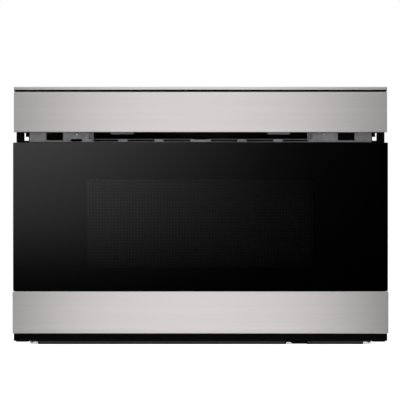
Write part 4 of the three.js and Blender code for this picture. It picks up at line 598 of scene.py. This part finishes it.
def front_outline(low, high, inset, radius, steps):
    """A rounded rectangle in X and Z inside a box."""
    return rounded_outline(low.x + inset, low.z + inset, high.x - inset, high.z - inset, radius, steps)


def pane(name, node, radius, steps, edge, finish=None):
    """A glass pane with a ground edge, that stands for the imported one."""
    low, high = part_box(node)
    work = bmesh.new()
    upright_slab(work, front_outline(low, high, 0, radius, steps), low.y, high.y, edge)
    finished(name, outward_mesh(name, work, 15), BODY[node], SLOT[node], finish, (node,))


def door_print():
    """Black print on the back of the glass, with the window left clear."""
    low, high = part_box("door_glass")
    window = front_outline(*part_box("window_screen"), 5 * MM, 5 * MM, 6)
    outer = front_outline(low, high, 1.2 * MM, 2 * MM, 6)
    upright_border("door_print", outer, window, high.y + 0.04 * MM, high.y + 0.2 * MM, "black_paint", PRINT)


def perforated_tree():
    """A sheet of square tiles, each with a round hole, given thickness."""
    tree, given = geometry_tree("perforated_sheet", (
        ("Tile", "Geometry", None), ("Width", "Float", 0.3), ("Height", "Float", 0.1), ("Pitch", "Float", 0.005),
        ("Thickness", "Float", 0.0008)))
    sizes = {}
    for size, axis in (("Width", "X"), ("Height", "Y")):
        tiles = calculated(tree, "FLOOR", calculated(tree, "DIVIDE", given[size], given["Pitch"]), 0)
        sizes["Vertices " + axis] = tiles
        sizes["Size " + axis] = product(tree, calculated(tree, "SUBTRACT", tiles, 1), given["Pitch"])
    grid = add_node(tree, "GeometryNodeMeshGrid", sizes)
    place = add_node(tree, "GeometryNodeInstanceOnPoints", {
        "Points": grid.outputs["Mesh"], "Instance": given["Tile"], "Scale": given["Pitch"]})
    solid = add_node(tree, "GeometryNodeRealizeInstances", {"Geometry": place.outputs["Instances"]})
    merge = add_node(tree, "GeometryNodeMergeByDistance", {"Geometry": solid.outputs["Geometry"], "Distance": 1e-5})
    thick = add_node(tree, "GeometryNodeExtrudeMesh", {
        "Mesh": merge.outputs["Geometry"], "Offset Scale": given["Thickness"], "Individual": False})
    flip = add_node(tree, "GeometryNodeFlipFaces", {"Mesh": merge.outputs["Geometry"]})
    whole = add_node(tree, "GeometryNodeJoinGeometry")
    for part in (thick, flip):
        feed(tree, whole, {"Geometry": part.outputs["Mesh"]})
    seal = add_node(tree, "GeometryNodeMergeByDistance", {"Geometry": whole.outputs["Geometry"], "Distance": 1e-5})
    return painted_result(tree, given, seal.outputs["Geometry"])


def screen_tile():
    """One tile of the screen, one unit square, round its hole."""
    sides, hole, edge = 8, 0.34, 0.5
    work = bmesh.new()
    ways = [(math.cos(turn), math.sin(turn)) for turn in ((i + 0.5) * 2 * math.pi / sides for i in range(sides))]
    inner = [work.verts.new((hole * x, hole * y, 0)) for x, y in ways]
    outer = []
    for x, y in ways:
        reach = edge / max(abs(x), abs(y))
        outer.append(work.verts.new((x * reach, y * reach, 0)))
    for i in range(sides):
        j = (i + 1) % sides
        a, b = outer[i].co, outer[j].co
        if abs(abs(a.x) - abs(b.x)) > 0.01 and abs(abs(a.y) - abs(b.y)) > 0.01:
            corner = work.verts.new((math.copysign(edge, a.x + b.x), math.copysign(edge, a.y + b.y), 0))
            work.faces.new((inner[i], outer[i], corner, outer[j], inner[j]))
        else:
            work.faces.new((inner[i], outer[i], outer[j], inner[j]))
    return mesh_of("screen_tile", work)


def window_screen():
    """Perforated steel screen that stops the microwaves in the door window."""
    low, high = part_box("window_screen")
    sheet = baked("window_screen_holes", screen_tile(), perforated_tree(), {
        "Width": (high.x - low.x) - SCREEN_MARGIN, "Height": (high.z - low.z) - SCREEN_MARGIN, "Pitch": SCREEN_PITCH,
        "Thickness": 0.7 * MM,
    }, "drawer", "black_paint", SCREEN_PAINT, stands_for=("window_screen",))
    middle = (low + high) / 2
    turn = Matrix.Rotation(math.pi / 2, 4, "X")
    sheet.data.transform(Matrix.Translation((middle.x, high.y, middle.z)) @ turn)


def screen_border():
    """Solid edge of the screen round its holes."""
    low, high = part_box("window_screen")
    half_x, half_z = (math.floor((size - SCREEN_MARGIN) / SCREEN_PITCH + 1e-6) * SCREEN_PITCH / 2
                      for size in (high.x - low.x, high.z - low.z))
    middle = (low + high) / 2
    outer = front_outline(low, high, 0, 5 * MM, 4)
    inner = rounded_outline(middle.x - half_x, middle.z - half_z, middle.x + half_x, middle.z + half_z, 0.0, 4)
    upright_border("screen_border", outer, inner, low.y, high.y, "black_paint", SCREEN_PAINT)


pane("door_pane", "door_glass", 1.6 * MM, 4, 0.7 * MM, DOOR_GLASS)
door_print()
window_screen()
screen_border()
pane("inner_pane", "inner_glass", 6 * MM, 8, 0.4 * MM)


# ---- Pan and tray ----------------------------------------------------------------------------------------

def drawer_tub():
    """Tub with leaning walls, a rolled rim that falls to the rear, and a filleted floor with an opening."""
    low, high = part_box("drawer_pan")
    wall, fillet, corner, steps = 1.5 * MM, 7 * MM, 18 * MM, 10
    lean, height, depth = 0.03, 132 * MM, 414 * MM
    level_share, fall = 0.25, 28 * MM
    margin, opening_corner = 36 * MM, 9 * MM
    fall_from = low.y + level_share * depth

    def rim_at(y):
        return high.z - max(0.0, (y - fall_from) / (high.y - fall_from)) * fall

    def ring(level, inset):
        half = high.x * (1 - lean * (1 - level))
        points = rounded_outline(-half + inset, low.y + inset, half - inset, high.y - inset, corner - inset, steps)
        return [(x, y, low.z + (rim_at(y) - low.z) * level) for x, y in points]

    foot = fillet / height
    turns = [i * math.pi / 8 for i in range(5)]
    opening = rounded_outline(-high.x + margin, low.y + margin, high.x - margin, high.y - margin, opening_corner, steps)
    rings = [[(x, y, low.z) for x, y in opening]]
    rings += [ring(foot * (1 - math.cos(turn)), fillet * (1 - math.sin(turn))) for turn in turns]
    rings += [ring(level, inset) for level, inset in (
        (0.35, 0), (0.7, 0), (0.985, 0), (0.995, 0.2 * MM), (1.0, 0.5 * MM), (1.0, wall - 0.5 * MM),
        (0.995, wall - 0.2 * MM), (0.985, wall), (0.7, wall), (0.35, wall))]
    for turn in reversed(turns):
        points = ring(foot * (1 - math.cos(turn)), wall + (fillet - wall) * (1 - math.sin(turn)))
        rings.append([(x, y, z + wall * (1 - math.sin(turn))) for x, y, z in points])
    rings.append([(x, y, low.z + wall) for x, y in opening])
    work = bmesh.new()
    loft(work, rings, closed=True)
    finished("drawer_tub", outward_mesh("drawer_tub", work, 40), "drawer", "pan_polymer", None, ("drawer_pan",))


def glass_tray():
    """Glass-ceramic base plate of the pan, with a shallow grooved border."""
    low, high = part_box("drawer_tray")
    corner, least_corner = 14, 2
    top = (high.z - low.z) / MM
    rings = []
    for inset, level in ((1.0, 0), (0.3, 0.3), (0, 1.0), (0, top - 1.0), (0.3, top - 0.3), (1.0, top), (11, top),
                         (12.5, top - 0.7), (14.5, top - 0.7), (16, top - 0.1)):
        outline = rounded_outline(low.x + inset * MM, low.y + inset * MM, high.x - inset * MM, high.y - inset * MM,
                                  max(corner - inset, least_corner) * MM, 8)
        rings.append([(x, y, low.z + level * MM) for x, y in outline])
    work = bmesh.new()
    loft(work, rings)
    finished("glass_tray", outward_mesh("glass_tray", work, 35), "drawer", "ceramic", None, ("drawer_tray",))


drawer_tub()
glass_tray()


# ---- Fasteners, louvres, bearings ------------------------------------------------------------------------

UP, DOWN, AHEAD, BEHIND = (0, 0, 1), (0, 0, -1), (0, -1, 0), (0, 1, 0)


def spot(x, y, z, facing):
    """A point given in millimetres, and the direction that a piece on it faces."""
    return (x * MM, y * MM, z * MM), facing


def front_of(node):
    """The front, in millimetres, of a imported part."""
    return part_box(node)[0].y / MM


def back_of(node):
    """The back, in millimetres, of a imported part."""
    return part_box(node)[1].y / MM


def fasten():
    """Screws that hold the grille, the cabinet's sheets, the front plate, the door's frame and the shell."""
    small = screw_head("small_screw", 3.0 * MM, 1.6 * MM)
    flanged = screw_head("flanged_screw", 3.2 * MM, 2.0 * MM, 1.4 * MM)
    any_turn = 3.0
    front = front_of("vent_grille")
    set_out("grille_screws", small, [spot(side * 201.6, front, 341.2, AHEAD) for side in (-1, 1)],
            "cabinet", "zinc_steel", None, 0.82, any_turn)
    side_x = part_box("side_panel_right")[1].x / MM
    places = []
    for side in (-1, 1):
        places += [spot(side * side_x, y, z, (side, 0, 0)) for y in (-238, -70, 100, 280) for z in (12, 357)]
        places += [spot(side * side_x, y, 163, (side, 0, 0)) for y in (-228, -60, 108)]
    cover_top, base_low = 369.0, 3.0
    places += [spot(x, y, cover_top, UP) for x in (-262, -88, 88, 262) for y in (-240, 284)]
    places += [spot(x, y, base_low, DOWN) for x in (-235, -80, 80, 235) for y in (-236, 10, 282)]
    set_out("cabinet_screws", flanged, places, "cabinet", "zinc_steel", None, 0.9, any_turn)
    front = front_of("front_plate")
    places = [spot(side * x, front, z, AHEAD) for side in (-1, 1)
              for x, z in ((268, 24), (268, 110), (268, 222), (268, 306), (150, 60), (60, 76))]
    set_out("front_plate_screws", flanged, places, "cabinet", "zinc_steel", None, 0.8, any_turn)
    back = back_of("door_frame")
    places = [spot(side * x, back, z, BEHIND) for side in (-1, 1)
              for x, z in ((286, 40), (286, 120), (286, 214), (286, 306), (150, 40), (150, 312))]
    places += [spot(0, back, z, BEHIND) for z in (40, 312)]
    set_out("door_frame_screws", small, places, "drawer", "black_paint", DARK_SCREW, 1.0, any_turn)
    back = back_of("control_shell")
    places = [spot(x, back, 401, BEHIND) for x in (-260, -130, 0, 130, 260)]
    set_out("control_shell_screws", small, places, "cabinet", "black_paint", DARK_SCREW, 0.9, any_turn)
    for piece in (small, flanged):
        bpy.data.objects.remove(piece)


def louvre_group(name, across, up, columns, slot):
    """Louvres over the slots of one panel. Each column is its place across and along the panel, the height of its
    middle, its number of louvres and the direction that they face."""
    length, half_slot, reach, pitch = 64 * MM, 3.0 * MM, 3.2 * MM, 14
    hood = louvre_hood(name + "_hood", length, half_slot, reach, across, up)
    places = [spot(x, y, middle + (i - (count - 1) / 2) * pitch, facing)
              for x, y, middle, count, facing in columns for i in range(count)]
    set_out(name, hood, places, "cabinet", slot)
    bpy.data.objects.remove(hood)


def press_louvres():
    """Louvres over the slots of the side panels, pressed outwards, and of the rear panel, pressed inwards."""
    side_x, side_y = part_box("side_panel_right")[1].x / MM, 223.5
    for side, name in ((1, "right"), (-1, "left")):
        columns = [(side * side_x, side_y, middle, count, (side, 0, 0)) for middle, count in ((120, 6), (300, 4))]
        louvre_group("side_louvres_" + name, (0, 1), (-side, 0), columns, SLOT["side_panel_right"])
    inside = front_of("rear_panel")
    columns = [(side * 190, inside, 90, 6, AHEAD) for side in (-1, 1)]
    louvre_group("rear_louvres", (1, 0), (0, 1), columns, SLOT["rear_panel"])


def bearing_balls():
    """Two rows of balls in each slide, top and bottom, carried by the middle member."""
    radius, pitch, first_y, per_row = 1.55 * MM, 9, -236, 22
    work = bmesh.new()
    bmesh.ops.create_icosphere(work, subdivisions=2, radius=radius)
    ball = pattern_object("bearing_ball", work, 60)
    low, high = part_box("slide_fixed_right")
    middle_z = (low.z + high.z) / 2 / MM
    for side, name in ((1, "right"), (-1, "left")):
        places = [spot(side * x, first_y + pitch * i, middle_z + sign * rise, UP)
                  for rise, x in ((20.15, 269.0), (15.65, 266.3)) for i in range(per_row) for sign in (-1, 1)]
        set_out("bearing_balls_" + name, ball, places, "slide_middle_" + name, "zinc_steel", BALL_STEEL,
                smooth_angle=60)
    bpy.data.objects.remove(ball)


def skirt_hem():
    """The pressed hem along the foot of the trim's skirt, painted paler than the trim as a painted highlight where its
    rounded fold catches the light. It stops at the notch.
    """
    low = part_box("base_trim")[0]
    skirt_face = low.y + 3 * MM
    work = bmesh.new()
    for left, right in ((-263.9, 137.9), (173.6, 263.9)):
        outline = rounded_outline(left * MM, low.z + 2.1 * MM, right * MM, low.z + 4.9 * MM, 1.2 * MM, 3)
        upright_slab(work, outline, skirt_face - 0.5 * MM, skirt_face + 0.3 * MM, 0.3 * MM)
    finished("skirt_hem", outward_mesh("skirt_hem", work, 35), BODY["base_trim"], SLOT["base_trim"], HEM_HIGHLIGHT_PAINT)


fasten()
press_louvres()
bearing_balls()
skirt_hem()


# ---- Control panel legends -------------------------------------------------------------------------------

def touch_legends():
    """Generic key digits, a clock reading and ON, OFF printed on the sloping touch glass."""
    slope = math.radians(30)
    front_y, top_z = -0.2887, 0.4093
    down_slope = Vector((0, math.cos(slope), -math.sin(slope)))
    outward = Vector((0, math.sin(slope), math.cos(slope)))
    axes = Matrix((Vector((1, 0, 0)), -down_slope, outward)).transposed().to_4x4()
    key_x, key_pitch, row_y, row_pitch, key_size = 16, 22, 9.5, 14, 7.5
    keys = [(str((i + 1) % 10), key_x + key_pitch * (i % 5), row_y + row_pitch * (i // 5), key_size) for i in range(10)]
    work = bmesh.new()
    for text, x, down, size in (*keys, ("12:00", -70, 16, 14), ("ON", 170, 16, 6), ("OFF", 200, 16, 6)):
        curve = bpy.data.curves.new("legend", "FONT")
        curve.body = text
        curve.size = size * MM
        curve.align_x, curve.align_y = "CENTER", "CENTER"
        curve.resolution_u = 3
        curve.extrude = 0.02 * MM
        mesh = plain_mesh(placed("legend", curve))
        origin = Vector((x * MM, front_y, top_z)) + down_slope * down * MM + outward * 0.04 * MM
        mesh.transform(Matrix.Translation(origin) @ axes)
        work.from_mesh(mesh)
    finished("touch_legends", mesh_of("touch_legends", work), "control_panel", "black_glass", LEGEND_INK)


touch_legends()


# ---- Studio ----------------------------------------------------------------------------------------------

CAMERA_LENS, SENSOR_WIDTH = 500.0, 36.0
FRAME_WIDTH = 0.6496
CAMERA_HEIGHT = 0.2342
CAMERA_DISTANCE = FRAME_WIDTH * CAMERA_LENS / SENSOR_WIDTH
CARD_DISTANCE, CARD_HALF_WIDTH, CARD_TOP = 1.2, 1.6, 3.0
# How far the door's glass reaches, which the card's fading is laid out on.
GLASS_HALF, GLASS_FOOT, GLASS_TOP = 0.306, 0.086, 0.329
# (place, level) stops of the card: what the glass mirrors from left to right and upwards, and what the steel sees.
GLASS_ACROSS = ((0.0, 1.0), (0.15, 0.86), (0.3, 0.62), (0.42, 0.41), (0.55, 0.235), (0.68, 0.1), (0.8, 0.04),
                (1.0, 0.006))
GLASS_UP = ((0.0, 0.037), (0.15, 0.105), (0.3, 0.25), (0.5, 0.51), (0.75, 0.79), (1.0, 1.1))
STEEL_ACROSS = ((0.0, 0.18), (0.375, 0.22), (0.395, 0.35), (0.415, 0.69), (0.435, 0.93), (0.457, 1.02), (0.497, 1.05),
                (0.538, 1.01), (0.558, 0.92), (0.578, 0.69), (0.598, 0.33), (0.618, 0.18))


def studio_world():
    """White where it is seen, mirrored or looked through, and half as bright where it lights the object."""
    world = bpy.data.worlds.new("studio")
    bpy.context.scene.world = world
    world.use_nodes = True
    world.node_tree.nodes.clear()
    path = add_node(world, "ShaderNodeLightPath").outputs
    seen = calculated(world, "MAXIMUM", path["Is Camera Ray"], path["Is Glossy Ray"])
    seen = calculated(world, "MAXIMUM", seen, path["Is Transmission Ray"])
    level = add_node(world, "ShaderNodeMapRange", {"Value": seen, "To Min": 0.5, "To Max": 1.0})
    background = add_node(world, "ShaderNodeBackground", {
        "Color": (1, 1, 1, 1), "Strength": level.outputs["Result"]})
    add_node(world, "ShaderNodeOutputWorld", {"Surface": background.outputs["Background"]})


def stage_sheet(name, rows, material_name):
    """Part of the studio: a sheet through rows of two points each, and its material, still without nodes."""
    work = bmesh.new()
    made = [[work.verts.new(point) for point in row] for row in rows]
    for low, high in zip(made, made[1:]):
        work.faces.new((low[0], low[1], high[1], high[0]))
    sheet = placed(name, mesh_of(name, work))
    material = bpy.data.materials.new(material_name)
    material.use_nodes = True
    material.node_tree.nodes.clear()
    sheet.data.materials.append(material)
    return sheet, material


def studio_floor():
    """A wide pale floor that the camera sees lighter than it lights the object."""
    reach = 24.0
    floor, material = stage_sheet("studio_floor", [[(side * reach, y, 0) for side in (-1, 1)]
                                                   for y in (-reach, reach)], "floor_white")
    floor.location.z = -0.4 * MM
    diffuse = add_node(material, "ShaderNodeBsdfDiffuse", {"Color": (0.86, 0.86, 0.86, 1)})
    path = add_node(material, "ShaderNodeLightPath")
    lift = product(material, path.outputs["Is Camera Ray"], 0.6)
    emit = add_node(material, "ShaderNodeEmission", {"Strength": lift})
    total = add_node(material, "ShaderNodeAddShader", {0: diffuse.outputs["BSDF"], 1: emit.outputs["Emission"]})
    add_node(material, "ShaderNodeOutputMaterial", {"Surface": total.outputs["Shader"]})


def area_lamp(name, place, target, size, power):
    """A square soft box that metal and glass don't mirror."""
    data = bpy.data.lights.new(name, "AREA")
    data.shape = "SQUARE"
    data.size = size
    data.energy = power
    lamp = placed(name, data)
    lamp.location = place
    lamp.rotation_euler = (Vector(target) - Vector(place)).to_track_quat("-Z", "Y").to_euler()
    lamp.visible_glossy = False


def curve_of(material, value, low, high, stops, warmth=0.0):
    """The value's place between low and high, looked up on a ramp of (place, level) stops. With some warmth, the
    bright stops turn a little redder than the dim ones."""
    place = add_node(material, "ShaderNodeMapRange", {"Value": value, "From Min": low, "From Max": high})
    ramp = add_node(material, "ShaderNodeValToRGB", {"Fac": place.outputs["Result"]})
    elements = ramp.color_ramp.elements
    while len(elements) < len(stops):
        elements.new(0.5)
    for element, (position, level) in zip(elements, stops):
        element.position = position
        red = 1 + warmth * (level - 0.58)
        blue = 1 - warmth / 6 * (level - 0.25)
        element.color = (level * red, level, level * blue, 1)
    return ramp.outputs["Color"]


def soft_card():
    """A large reflector that stands in front of the object, with its foot drawn in under it, and that only metal and
    glass see. Brushed steel sees it bright in the middle and softer to the sides. A polished pane mirrors it sharply,
    and there it falls away to the right and downwards, as from a lamp at the upper left."""
    far, near = FRONT - CARD_DISTANCE, FRONT - 0.01
    card, material = stage_sheet("soft_card", [[(side * CARD_HALF_WIDTH, y, z) for side in (-1, 1)]
                                               for y, z in ((near, 0.0), (far, 0.0), (far, CARD_TOP))], "soft_card")
    coords = add_node(material, "ShaderNodeTexCoord")
    parts = add_node(material, "ShaderNodeSeparateXYZ", {0: coords.outputs["Object"]}).outputs
    mirrored = 1 + CARD_DISTANCE / CAMERA_DISTANCE
    foot, top = (CAMERA_HEIGHT + (level - CAMERA_HEIGHT) * mirrored for level in (GLASS_FOOT, GLASS_TOP))
    across = curve_of(material, parts["X"], -GLASS_HALF * mirrored, GLASS_HALF * mirrored, GLASS_ACROSS)
    glass = product(material, across, curve_of(material, parts["Z"], foot, top, GLASS_UP))
    across = curve_of(material, parts["X"], -CARD_HALF_WIDTH, CARD_HALF_WIDTH, STEEL_ACROSS, 0.09)
    rising = spread(material, parts["Z"], 0.95, 1.13, 0.0, 1.2)
    steel = add_node(material, "ShaderNodeVectorMath", {0: across, "Scale": rising}, operation="SCALE")
    path = add_node(material, "ShaderNodeLightPath")
    mix = add_node(material, "ShaderNodeMix", {
        "Factor": path.outputs["Is Singular Ray"], "A": steel.outputs["Vector"], "B": glass}, data_type="RGBA")
    emit = add_node(material, "ShaderNodeEmission", {"Color": mix.outputs["Result"], "Strength": 1.0})
    add_node(material, "ShaderNodeOutputMaterial", {"Surface": emit.outputs["Emission"]})
    for ray in ("camera", "diffuse", "shadow", "volume_scatter"):
        setattr(card, "visible_" + ray, False)


studio_world()
studio_floor()
area_lamp("key_lamp", (-2.2, -3.4, 3.2), (0, -0.1, 0.2), 2.2, 110)
area_lamp("fill_lamp", (2.8, -3.0, 2.2), (0, -0.1, 0.2), 2.2, 55)
area_lamp("rear_lamp", (0.6, 3.6, 3.0), (0, 0.1, 0.2), 2.4, 60)
soft_card()

camera_data = bpy.data.cameras.new("photo_camera")
camera_data.lens = CAMERA_LENS
camera_data.sensor_width = SENSOR_WIDTH
camera_data.clip_end = 100.0
camera = placed("photo_camera", camera_data)
camera.location = (-0.8 * MM, FRONT - CAMERA_DISTANCE, CAMERA_HEIGHT)
camera.rotation_euler = (math.pi / 2, 0, 0)
bpy.context.scene.camera = camera
bpy.context.scene.view_settings.view_transform = "Standard"
